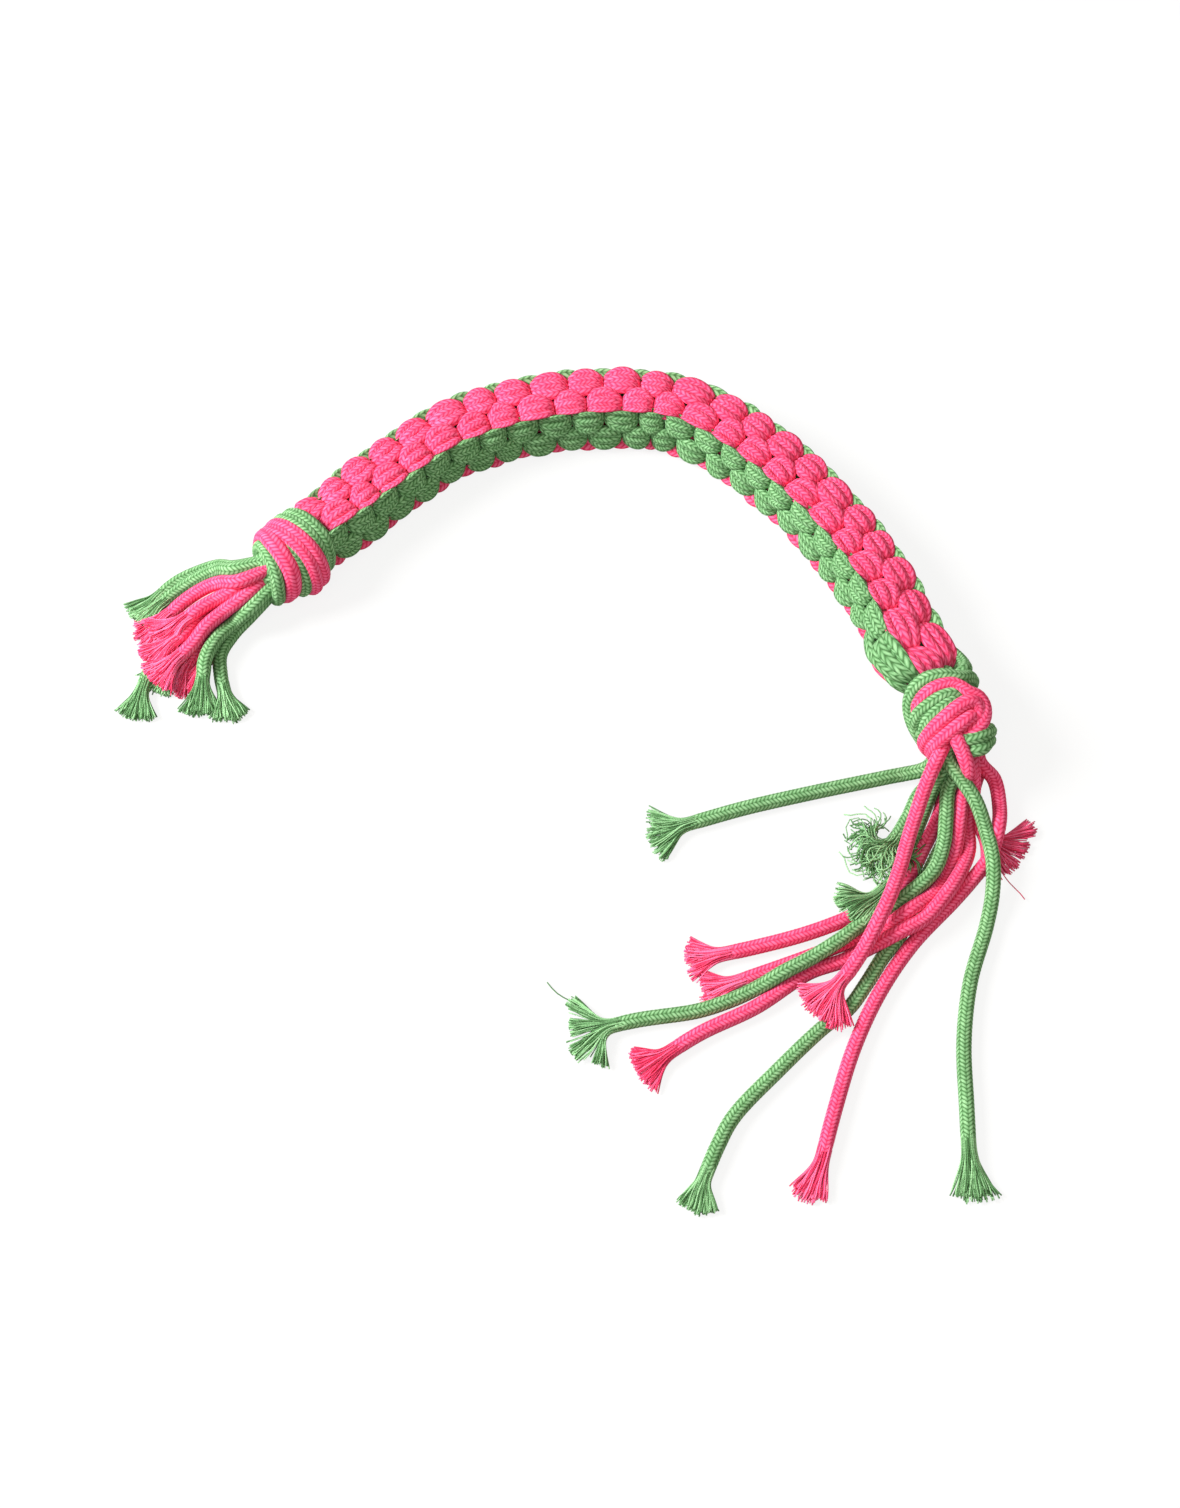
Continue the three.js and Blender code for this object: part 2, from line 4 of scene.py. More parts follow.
import bpy
import numpy as np
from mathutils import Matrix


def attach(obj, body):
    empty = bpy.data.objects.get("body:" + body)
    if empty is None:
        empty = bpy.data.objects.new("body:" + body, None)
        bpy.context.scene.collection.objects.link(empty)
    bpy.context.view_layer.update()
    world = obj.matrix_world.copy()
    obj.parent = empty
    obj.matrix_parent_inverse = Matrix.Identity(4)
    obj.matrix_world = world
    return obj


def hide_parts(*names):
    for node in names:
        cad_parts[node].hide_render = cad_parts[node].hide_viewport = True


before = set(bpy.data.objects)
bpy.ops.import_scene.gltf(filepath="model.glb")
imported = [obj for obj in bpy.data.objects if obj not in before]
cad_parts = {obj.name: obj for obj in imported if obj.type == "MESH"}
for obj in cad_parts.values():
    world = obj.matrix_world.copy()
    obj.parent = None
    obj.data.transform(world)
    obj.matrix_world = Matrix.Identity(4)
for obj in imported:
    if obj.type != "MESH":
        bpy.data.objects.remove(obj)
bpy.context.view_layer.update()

# The toy is twelve braided cotton cords, six pink and six green. Lengths are in millimetres, and every
# mesh is written in metres. The sinnet goes where its solids do. The tails' routes are their solids' own,
# moved by some millimetres where the photograph shows them to lie otherwise.
MM = 0.001
UP = np.array([0.0, 0.0, 1.0])

# The camera, where the photograph's stood
CAMERA_ELEVATION = 64
CAMERA_DISTANCE = 950
CAMERA_TARGET = (8, 9, 0)
CAMERA_LENS = 63.5
NEAREST_SHOWN = 10
FARTHEST_SHOWN = 20000

# The light's levels: together they show a flat-lying surface in the colour that it has
AMBIENT_LIGHT = 0.49
AMBIENT_TINT = 0xFFF7E7
WHITE = 0xFFFFFF
KEY_LAMP = {"stand": (-1150, 100, 1000), "size": 700, "energy": 38}
FILL_LAMP = {"stand": (-300, -700, 1300), "size": 900, "energy": 3}
LAMP_AIM = (0, 20, 0)

# The floor: how grey it is to the light's own rays and to the eye, and how much of what the eye sees is
# glow, so that it's white but for the shadow
FLOOR_REACH = 6000
FLOOR_DROP = 0.1
FLOOR_GREYS = (0.4, 0.9)
FLOOR_GLOW_SHARE = 0.86

# The cord: a tube braided as a herringbone, with eight columns round it of strands that lean by turns
CURVE_POINTS = 24
CORD_RADIUS = 2.6
CORD_SIDES = 32
CORD_STEP = 0.36
COLUMNS_AROUND = 8
STRAND_PITCH = 1.45
STRAND_RELIEF = 0.16
MEAN_RELIEF_SHARE = 0.6

# The sinnet, in the same sizes as its solids
SINNET_ROUTE = [
    (-91, 92), (-68, 114.5), (-45, 133), (-15, 144), (15, 147.5), (43, 144), (73, 123.5), (98, 94),
    (112, 70), (121, 47), (127.5, 33),
]
ROUTE_POINTS = 60
AXIS_STEP = 0.5
ROLL_DEGREES = [8, 5, 6.5, 8, 6.5, 12.5, 22]
LAYER_HEIGHT = 6.3
LAYER_COUNT = 46
SINNET_LENGTH = LAYER_HEIGHT * LAYER_COUNT
SINNET_HALF_WIDTH = 11.75
SINNET_FLAT = 0.5
STITCH_FLAT_REACH = 7.15
DRAWN_IN_LENGTH = 20
END_WIDTH_SHARES = {"left": 0.93, "right": 0.95}
END_SQUEEZE_SHARE = 0.6
END_SQUEEZE_LENGTH = 12

# Before the right knot the front face bulges, the underside is drawn up behind it, and the last layers
# are stretched
BULGE_REACH = 7
BULGE_FROM_END = 7
BULGE_LENGTH = 12
BULGE_TUCK = 9
TUCK_LENGTH = 22
LAST_STRETCH = 11
LAST_STRETCH_LENGTH = 28

# Its bundles: colour, the side of the sinnet that each keeps to, and the way that it first crosses
SINNET_BUNDLES = {
    "sinnet_bundle_pink_back": ("pink", -1, -1),
    "sinnet_bundle_pink_front": ("pink", 1, 1),
    "sinnet_bundle_green_lower": ("green", -1, 1),
    "sinnet_bundle_green_upper": ("green", 1, -1),
}

# A bundle's three cords: their places across the lane at the folds and at the middle of a stitch, and
# their reach from the axis there
STITCH_SEATS = [(3.8, 0.9, 10.0), (5.0, 5.2, 9.9), (7.0, 9.5, 9.1)]
STITCH_HALF_LENGTH = 5.2
STITCH_SQUARENESS = 2.5
STITCH_VARIATION = (0.25, 0.3, 0.35)
CORD_VARIATION = (0.1, 0.12, 0.15)
STITCH_SEED = 7
DRIFT_REACH = 0.55
DRIFT_LENGTHS = (31, 53)
STITCH_POINTS = 17
SPAN_POINTS = 3
FOLD_REACH = 4.6
CROSSING_REACH = 1.5
CORE_REACH = 5.4
CORE_RADIUS = 1.4
CORE_STEP = 1.7
CORE_EASE = 2.5
STITCH_STEP = 0.5
STITCH_CORD_HALF_WIDTH = 2.3
STITCH_CORD_HALF_HEIGHT = 2.05
SINNET_SIDES = 16
CORNER_LEAN = 0.2
CORNER_DEPTH = 7.4
CORNER_RISE = 3
STITCH_GAP = 0.05
PRESS_EASE = 1.5

# The knots
KNOT_HALF_LENGTH = 15
KNOT_HEIGHTS = {"left": 14.2, "right": 15.6}
HEART_RADII = {"left": (9.0, 9.8, 6.5), "right": (9.6, 11.2, 9.0)}
HEART_END_SHARE = 1.35
HEART_STATIONS = 48
HEART_SIDES = 96
HEART_POLE_DEGREES = 89
HEART_CORDS = 12
HEART_CREASE_SHARE = 0.1
STRAND_HALF_HEIGHT = 2.35
STRAND_SINK = 0.3
STRAND_SQUARENESS = 2.15
KNOT_NODES = {
    "left": ["wrap_1_green", "wrap_2_pink", "wrap_3_green"],
    "right": ["wrap_1_green", "wrap_2_pink", "wrap_3_green", "wrap_4_pink"],
}

# Each tail starts inside its knot, at a slot that is so many spacings across and up from the knot's axis,
# and all of them are pressed together by a share
SLOT_SPACINGS = {"left": 3.9, "right": 4.7}
TAIL_START = 8
START_SPREAD_SHARE = 0.85

# It is squeezed at the knot, and drawn in and widened where it frays, with its end under the yarns
NECK_LENGTH = 12
NECK_SHARE = 0.86
FRAY_DRAWN_SHARE = 0.2
FRAY_WIDER_SHARE = 0.15
BRAID_UNDER_FRAY = 1.5
TAIL_SEED = 3

# The tails' slots and routes, as points chosen on the photograph. A point with no height of its own lies
# on the floor
LYING_HEIGHT = 2.5
TAILS = {
    "left": {
        "green_1": {"slot": (-1.5, 0.5), "route": [
            (-121.5, 79, 12), (-128.5, 82.5, 6.5), (-136, 82, 3), (-143.5, 78), (-150.5, 71),
            (-156.5, 63.5),
        ]},
        "green_2": {"slot": (-0.5, 1.5), "route": [
            (-121.5, 75, 17), (-127.5, 77.5, 12), (-134.5, 77.5, 7), (-142, 74.5, 3.5), (-149.5, 68.5),
            (-156, 61.5),
        ]},
        "green_3": {"slot": (1.5, 0.5), "route": [
            (-114.5, 61, 13.5), (-121, 58, 8), (-127, 51.5, 8), (-130.5, 43, 8), (-131.5, 34, 6),
            (-134.5, 26.5, 3),
        ]},
        "green_4": {"slot": (1.5, -0.5), "route": [
            (-115.5, 61.5, 7), (-122, 56, 3), (-126, 48), (-125.5, 40), (-123.5, 32), (-119.5, 23.5),
        ]},
        "green_5": {"slot": (-1.5, -0.5), "route": [
            (-121.5, 74, 6.5), (-128.5, 70), (-135, 63.5), (-141.5, 57), (-147, 49.5), (-151, 41.5),
            (-153.5, 33), (-156.5, 24.5),
        ]},
        "green_6": {"slot": (-0.5, -1.5), "route": [
            (-120, 69.5, 3.5), (-127, 64), (-133.5, 57.5), (-139.5, 50.5), (-144.5, 42.5), (-147.5, 34),
        ]},
        "pink_1": {"slot": (0.5, 1.5), "fray": (14, 33, -9), "route": [
            (-119, 69, 19), (-126, 70.5, 15.5), (-132.5, 70.5, 11), (-139.5, 67.8, 7), (-147, 62, 4),
            (-154, 55),
        ]},
        "pink_2": {"slot": (-0.5, 0.5), "fray": (14, 33, 6), "route": [
            (-121, 67.5, 15), (-126.5, 65.5, 13), (-133, 61.5, 12.5), (-140, 56.5, 11), (-147.5, 51, 8),
        ]},
        "pink_3": {"slot": (0.5, 0.5), "route": [
            (-118, 64, 15), (-124, 60.5, 12.5), (-130.5, 55, 11), (-135.5, 48.5, 9), (-141.5, 42.5, 8),
            (-147.5, 36, 7.5),
        ]},
        "pink_4": {"slot": (-0.5, -0.5), "route": [
            (-121, 69.5, 9.5), (-128.5, 66, 7.5), (-134, 60, 7.5), (-139, 53.5, 8), (-145, 48.5, 8),
            (-151, 43.5, 7.5),
        ]},
        "pink_5": {"slot": (0.5, -0.5), "route": [
            (-117.5, 65, 9.5), (-124.5, 62, 7.5), (-130.5, 56, 6.5), (-134.5, 49, 4), (-138.5, 42),
            (-142, 34),
        ]},
        "pink_6": {"slot": (0.5, -1.5), "route": [
            (-117, 65, 3), (-124, 59.5), (-128.5, 51), (-132.5, 42), (-136.5, 33.5),
        ]},
    },
    "right": {
        "green_1": {"slot": (-1.7, -0.5), "fray": (14.5, 36, 0), "route": [
            (128, 1, 7), (118, -0.5), (106.5, -3), (84.5, -8), (62.5, -13.5), (41, -20), (30, -22.5),
        ]},
        "green_2": {"slot": (-1, -1.3), "style": "curly", "fray": (18, 75, 5), "route": [
            (132, -0.5, 3.5), (124.5, -8), (119.5, -18), (112.5, -28), (99.5, -34.5),
        ]},
        "green_3": {"slot": (-0.8, 0.2), "fray": (14.5, 39, 14), "route": [
            (132, -3, 12), (128.5, -8.5, 6), (124.5, -17.5), (120, -28), (115.5, -38.5),
            (108.5, -47, 4.5), (97, -54, 10),
        ]},
        "green_4": {"slot": (0.4, 0.6), "style": "split", "fray": (16, 64, -11), "route": [
            (136.5, -3, 11.5), (133.5, -10.5, 9.5), (132.5, -19, 9), (131, -30, 8), (127, -40, 8),
            (119, -47.5, 7.5), (110.5, -53.5, 5.5), (101.5, -59.5, 7.5), (93, -66, 8), (83.5, -72, 7.5),
            (74, -77, 7), (65, -81.5, 3.5), (55, -86), (44.5, -89.5), (23, -93), (2, -98.5),
        ]},
        "green_5": {"slot": (0.1, -1.3), "fray": (12.5, 24, -8), "route": [
            (140, 0, 3.5), (138.5, -11), (134.5, -21.5), (129.5, -31.5), (124.5, -41.5), (119.5, -51),
            (115, -61.5), (108.5, -70), (102.5, -79.5), (96, -88.5), (87, -95.5), (71, -111), (56, -127),
            (50.5, -137), (42, -157.5),
        ]},
        "green_6": {"slot": (1, 1.2), "fray": (19, 12, -5), "route": [
            (133, 0, 17), (138.5, -8.5, 14), (142.8, -15.5, 12), (146.2, -25.5, 8.5), (147.8, -36.6, 8),
            (147.3, -47.5, 5), (144.8, -58.5), (138, -79), (134.5, -100.5), (134, -122), (134, -143.5),
            (135, -154),
        ]},
        "pink_1": {"slot": (1.2, -1), "style": "split", "fray": (17, 62, -40), "route": [
            (146, 3, 4.5), (143.5, -7.5), (144, -17.5), (148, -27), (155, -36),
        ]},
        "pink_2": {"slot": (-0.2, 1.5), "fray": (16, 46, -4), "route": [
            (129, -2.5, 19), (125.2, -10.5, 15), (122, -19, 11.5), (118.7, -28.5, 10), (115.1, -40.2, 11),
            (110.6, -52.1, 13.5), (106, -61.5, 13.5), (100.7, -70.7, 10), (93.5, -80.3, 8),
            (82.5, -90, 7.6),
        ]},
        "pink_3": {"slot": (-0.3, -0.5), "fray": (13.5, 27, 9), "route": [
            (138, -1.5, 9.5), (133.5, -9), (130, -18.5), (125, -28.5), (120, -38), (113.5, -46.5),
            (104.5, -52), (84.5, -60.5), (63.5, -66.5), (42.5, -71),
        ]},
        "pink_4": {"slot": (0.5, -0.4), "fray": (13, 20, 11), "route": [
            (144, 0, 9.5), (139.5, -9, 8.5), (137.5, -19.5, 7.5), (135.5, -30, 5), (131.5, -39.5),
            (125.5, -48.5, 5.5), (117.5, -55, 8.5), (109, -60, 4), (99, -63.5), (78.5, -71.5), (58, -79),
            (47.5, -82.5),
        ]},
        "pink_5": {"slot": (1.2, 0), "fray": (13.5, 30, 6), "route": [
            (142, -2.5, 15), (142.5, -10, 9.5), (140.5, -18.5, 4), (140.5, -29.5), (136.5, -39.5, 5.5),
            (130.5, -49, 7.5), (123, -57.5, 7.5), (113.5, -63, 8), (104, -67, 4), (94, -71.5),
            (83, -75.5), (64.5, -88), (44.5, -98), (25.5, -111),
        ]},
        "pink_6": {"slot": (1.9, 0.6), "fray": (16, 11, 8), "route": [
            (145, 1, 11), (150.5, -4.5, 7), (152, -13.5, 5), (150.5, -24, 8), (147.5, -32.5), (141, -41),
            (134, -49), (119, -65), (107, -82.5), (97.5, -102), (90.5, -122.5), (84.5, -143.5),
            (82, -154),
        ]},
    },
}

# The frayed ends: each one's length, and half its spread and its turn to the right in degrees
USUAL_FRAY = (12, 27, 0)

# Their kinds: how many clumps the yarns are in, how far they gather in them, how they curl in radians,
# how high they are lofted, and how many stray out past the rest
TASSELS = {
    "fan": {"clumps": 7, "gather": 0.25, "curl": 0.16, "loft": 0.6, "strays": 0},
    "split": {"clumps": 4, "gather": 0.85, "curl": 0.14, "loft": 1, "strays": 1},
    "curly": {"clumps": 7, "gather": 0.2, "curl": 1.5, "loft": 6, "strays": 5},
}
STRAY_LENGTH_SHARE = 1.6
CLUMP_SPAN_SHARE = 0.9
CLUMP_SCATTER_SHARE = 0.3
CLUMP_LENGTH_SHARES = (0.88, 1.08)
FRAY_AIM_POINTS = 12
FRAY_BACK = 5
FRAY_THICKNESS = 2.2

# Their yarns: how far back in the cord they start, how their lengths, thicknesses and tones vary, the
# ranges of the phase, rate and bend of their wander, and the shares of the way in which they spread,
# settle and are lofted
YARNS = 210
YARN_RADIUS = 0.24
YARN_SIDES = 4
YARN_STATIONS = 13
YARN_STARTS = (1.5, FRAY_BACK)
YARN_LENGTH_SHARES = (0.93, 1.05)
YARN_RADIUS_SHARES = (0.8, 1.2)
YARN_TONE_SHARES = (0.1, 0.9)
LEAST_WANDER = (0, 3, -1)
MOST_WANDER = (6, 7, 1)
SPREAD_SHARE = 0.5
SETTLE_SHARE = 0.85
LOFT_SHARE = 1.25

# The cords that show on each knot: colour, half the width that it is pressed to, and the places that it
# passes, as degrees round the knot from the top, millimetres towards the tails, and lift off the knot
KNOT_STRANDS = {
    "left": [
        ("green", 2.7, [
            (-150, -6.8, -3), (-110, -8.5, 0), (-59, -9.8, 0.2), (-32, -10.7, 0.2), (-9, -11.2, 0.2),
            (10, -11.5, 0.2), (35, -11.7, 0.2), (57, -11, -0.3), (80, -10.3, -1), (110, -9.3, -1),
            (150, -8.8, -0.5), (205, -8.5, -3),
        ]),
        ("green", 2.6, [
            (-160, -3.2, -3), (-110, -4.6, 0), (-65, -5.9, 0.4), (-40, -6.8, 0.5), (-17, -7.5, 0.5),
            (5, -8.2, 0.5), (24, -8.4, 0.4), (47, -8, 0.1), (73, -7.3, -0.4), (100, -6.8, -0.4),
            (150, -6.4, -0.2), (205, -5.9, -3),
        ]),
        ("pink", 2.6, [
            (-165, 0.3, -3), (-105, -1, 0), (-60, -2.7, 0.6), (-25, -3.9, 0.8), (0, -4.6, 0.9),
            (20, -5.2, 1), (41, -5.3, 1.3), (64, -5, 1.7), (90, -4.5, 1.9), (120, -4.1, 1.5),
            (160, -3.6, 0.5), (210, -2.9, -3),
        ]),
        ("pink", 2.6, [
            (-165, 3.8, -3), (-105, 2.4, 0), (-55, 0.6, 0.5), (-25, -0.2, 0.7), (-3, -1, 0.8),
            (18, -1.7, 0.9), (39, -1.9, 1.2), (58, -1.6, 1.8), (81, -0.8, 2.5), (110, 0, 2.6),
            (150, 0.3, 0.6), (210, 0.8, -3),
        ]),
        ("green", 2.4, [
            (-40, 3.8, -4), (-15, 3.1, -1.4), (0, 2.6, -0.5), (12, 2, -0.2), (26, 1.5, -0.1),
            (42, 1.3, 0), (57, 1.6, 0.3), (73, 2.2, 0.8), (89, 3, 1.2), (112, 3.9, 1), (140, 4.5, -3),
        ]),
        ("pink", 3.4, [
            (-175, 5.6, -3), (-110, 3.8, 0), (-65, 2.4, 0.6), (-35, 2.6, 1), (-14, 3.7, 1.3),
            (3, 4.3, 1.4), (21, 4.9, 1.4), (37, 5.4, 1.4), (52, 6.1, 1.3), (68, 7, 1.1), (86, 7.8, 0.8),
            (105, 8.4, 0.4), (135, 8.6, 0), (175, 7.8, -0.8), (215, 6.4, -3),
        ]),
        ("green", 2.45, [
            (-150, 8, -3), (-95, 6, -1.4), (-45, 6, -0.8), (-19, 6.9, -0.2), (-1, 7.9, 0.3),
            (16, 9, 0.6), (32, 10.2, 0.8), (48, 11.4, 0.8), (64, 12.4, 0.6), (80, 13, 0.4),
            (110, 13, 0), (150, 12, -0.5), (200, 9.5, -3),
        ]),
    ],
    "right": [
        ("green", 2.7, [
            (-160, 9, -3), (-120, 8, -0.3), (-95, 4, 0.3), (-80, -1.6, 0.5), (-64, -5.4, 0.6),
            (-44, -7.6, 0.6), (-24, -8, 0.6), (-8, -7.2, 0.5), (8, -5.6, 0.4), (26, -3.6, 0.2),
            (50, -4, 0), (90, -5, 0), (130, -6, 0), (170, -6, -0.3), (215, -4, -3),
        ]),
        ("pink", 2.5, [
            (-130, 0, -3), (-85, -2, -1), (-55, -2.6, -0.2), (-38, -3.2, 0.3), (-23, -3.5, 0.5),
            (-8, -3.2, 0.6), (6, -2.2, 0.7), (15, 0.2, 1), (22, 3.2, 1.5), (33, 5.6, 1.9),
            (38, 8.8, 1.8), (34, 12.2, 1.4), (22, 15, 0.6), (4, 16, -0.6), (-12, 15.4, -2),
            (-28, 13, -4),
        ]),
        ("green", 2.6, [
            (-165, 6, -3), (-120, 4, -0.4), (-92, 2.4, 0.1), (-74, 1.2, 0.4), (-58, 0.6, 0.5),
            (-44, 0.6, 0.5), (-29, 0.7, 0.5), (-13, 0.6, 0.3), (1, 1.3, -0.1), (12, 2.8, -1),
            (24, 5, -2.6), (40, 8, -4),
        ]),
        ("green", 2.6, [
            (-155, 11, -3), (-115, 9, -0.4), (-88, 7.8, 0.1), (-68, 6.2, 0.4), (-49, 4.9, 0.5),
            (-32, 4.4, 0.5), (-14, 4, 0.2), (-1, 3.8, -0.4), (12, 4.4, -1.4), (28, 6, -3.6),
        ]),
        ("pink", 2.7, [
            (-175, 14, -3), (-130, 11.6, -0.3), (-101, 9.6, 0.9), (-84, 9, 1.3), (-61, 8.9, 1.5),
            (-41, 8.6, 1.6), (-23, 8, 1.7), (-7, 7.3, 1.9), (9, 6.8, 2.1), (20, 7.4, 2), (26, 9.8, 1.4),
            (20, 12.8, 0.2), (6, 13.6, -1.8), (-10, 13, -4),
        ]),
        ("pink", 2.7, [
            (-175, 17, -4), (-135, 15, -1), (-105, 13, 0.7), (-80, 12.9, 1.3), (-59, 13.1, 1.4),
            (-37, 13.1, 1.5), (-18, 12.7, 1.5), (-2, 12, 1.3), (11, 11, 0.5), (22, 10, -1.3),
            (40, 9, -4),
        ]),
        ("pink", 2.7, [
            (-14, 6, -4), (-22, 9, -1.6), (-28, 13, 0), (-31, 17, 0.4), (-36, 20.8, -0.2),
            (-45, 24, -1.6), (-66, 26, -3.8), (-113, 26, -5.2),
        ]),
        ("green", 2.7, [
            (-50, 15, -5), (-17, 17, -1.5), (-1, 18, -0.4), (20, 18.2, 0), (39, 17.2, -0.6),
            (66, 15.6, -1.5), (105, 14, -2), (150, 13, -2), (195, 11, -3),
        ]),
        ("green", 2.6, [
            (-40, 19, -5), (-19, 20.5, -2.6), (-4, 21.6, -2), (14, 21.8, -2), (40, 20, -2.2),
            (75, 18, -2.6), (110, 16, -2.6), (150, 14, -3),
        ]),
        ("green", 2.7, [
            (60, -30, -3), (68, -25, -0.8), (76, -19.5, 0.8), (75, -14, 1), (66, -9.5, 0.6),
            (52, -7, -0.4), (40, -6, -3),
        ]),
    ],
}

# The cords' colours, as the photograph has them
# The lighter colour is a painted highlight on the braid's strand crowns and the darker one painted shade in
# its gaps; the frayed yarns take their tones from across all three
PINK = {"highlight_and_light_tone": 0xFF7EAB, "base": 0xF24773, "groove_shade_and_dark_tone": 0xCE3058}
GREEN = {"highlight_and_light_tone": 0xA3D39E, "base": 0x62945F, "groove_shade_and_dark_tone": 0x41673B}

# The sizes of what shows in the cotton: how far the dye drifts along a cord, the fibres that a strand
# shows along it and across it, and a yarn's specks and its twist, both drawn coarser than the real
# half millimetre so that they show
DYE_DRIFT = 18.2
FIBRES_ALONG = 2
FIBRES_ACROSS = 5
YARN_SPECK = 1.11
YARN_TWIST = 0.9
YARN_PLIES = 2

# How much a gap at a column's edge counts beside one at a strand's side in the painted shade of the gaps,
# how much a strand's fleck and its fibres lighten it and its fibres lift it, and how much a yarn's twist
# paints shade into its ply grooves and its specks change its tone
EDGE_GAP_SHARE = 0.55
FLECK_SHARE = 0.4
FIBRE_LIGHT_SHARE = 0.8
FIBRE_LIFT_SHARE = 0.4
TWIST_SHADE_SHARE = 0.06
SPECK_TONE_SHARE = 0.3


# Lines and frames

def smooth_line(points, per_span):
    """Points along the centripetal Catmull-Rom curve through the given ones, per_span to each span.

    Each span is the pyramid of straight blends between its four nearest points, whose places along the
    curve are the sums of the square roots of their distances."""
    p = np.asarray(points, float)
    p = np.vstack([2 * p[:1] - p[1:2], p, 2 * p[-1:] - p[-2:-1]])
    place = np.concatenate([[0], np.cumsum(np.sqrt(np.linalg.norm(np.diff(p, axis=0), axis=1)))])
    corner = [p[i:len(p) - 3 + i, None, :] for i in range(4)]
    at = [place[i:len(p) - 3 + i, None, None] for i in range(4)]
    share = np.arange(per_span)[None, :, None] / per_span
    t = at[1] + (at[2] - at[1]) * share

    def blend(a, b, start, end):
        return ((end - t) * a + (t - start) * b) / (end - start)

    low = [blend(corner[i], corner[i + 1], at[i], at[i + 1]) for i in range(3)]
    mid = [blend(low[i], low[i + 1], at[i], at[i + 2]) for i in range(2)]
    line = blend(mid[0], mid[1], at[1], at[2]).reshape(-1, p.shape[1])
    return np.vstack([line, p[-2:-1]])


def distance_along(line):
    """The distance from the line's start to each of its points."""
    return np.concatenate([[0], np.cumsum(np.linalg.norm(np.diff(line, axis=0), axis=1))])


def take_at(rows, known, wanted):
    """The rows' values where a measure that grows along them has the wanted values."""
    return np.stack([np.interp(wanted, known, rows[:, axis]) for axis in range(rows.shape[1])], axis=-1)


def even_line(points, step):
    """The smooth line through the points, walked in equal steps of about the given length."""
    line = smooth_line(points, CURVE_POINTS)
    known = distance_along(line)
    return take_at(line, known, np.linspace(0, known[-1], max(2, round(known[-1] / step)) + 1))


def unit(vectors):
    """The vectors over their lengths."""
    return vectors / np.linalg.norm(vectors, axis=-1, keepdims=True)


def frame_along(line, reference):
    """Side and top at each point: top is the reference without its part along the line, and side is the
    line's direction cross top."""
    direction = unit(np.gradient(line, axis=0))
    reference = np.broadcast_to(reference, line.shape)
    top = unit(reference - direction * np.sum(reference * direction, axis=-1, keepdims=True))
    return np.cross(direction, top), top


def smoothstep(share):
    """From 0 to 1 with level ends: three times the share's square less twice its cube."""
    share = np.clip(share, 0, 1)
    return share * share * (3 - 2 * share)


def signed_power(values, power):
    """The values' sizes to the power, with the values' own signs."""
    return np.sign(values) * np.abs(values) ** power


# Surfaces

def strand_relief(around, along):
    """How high a braided cord's surface stands, from 0 in the gaps to 1 on the strands.

    Where around is in an even column, the strands' edges are where it and along add up to a whole number,
    and in an odd one they are where along less around does. Each strand stands as the root of the product
    of a half wave across its column and one across itself."""
    odd = np.floor(around) % 2
    across = along + around * (1 - 2 * odd)
    return np.sqrt(np.abs(np.sin(np.pi * around) * np.sin(np.pi * across)))


def cord_surface(line, reference, half_width, half_height, sides, squareness=2.0, relief=STRAND_RELIEF):
    """A flattened round carried along the line: the line plus side times half the width times the cosine
    of the angle, plus top times half the height times its sine, both to the power that makes the round
    as square as given, and each swollen by the strands.
    Returns the grid of points, and where each is in columns round the cord and pitches along it."""
    angle = np.linspace(0, 2 * np.pi, sides, endpoint=False)
    around = angle * COLUMNS_AROUND / (2 * np.pi)
    along = distance_along(line) / STRAND_PITCH
    swell = relief * (strand_relief(around[None, :], along[:, None]) - MEAN_RELIEF_SHARE)
    side, top = frame_along(line, reference)
    power = 2 / squareness
    wide = (np.reshape(half_width, (-1, 1)) + swell) * signed_power(np.cos(angle), power)
    high = (np.reshape(half_height, (-1, 1)) + swell) * signed_power(np.sin(angle), power)
    grid = line[:, None, :] + side[:, None, :] * wide[..., None] + top[:, None, :] * high[..., None]
    around = np.append(around, COLUMNS_AROUND)
    pattern = np.stack(np.broadcast_arrays(around[None, :], along[:, None]), axis=-1)
    return grid, pattern


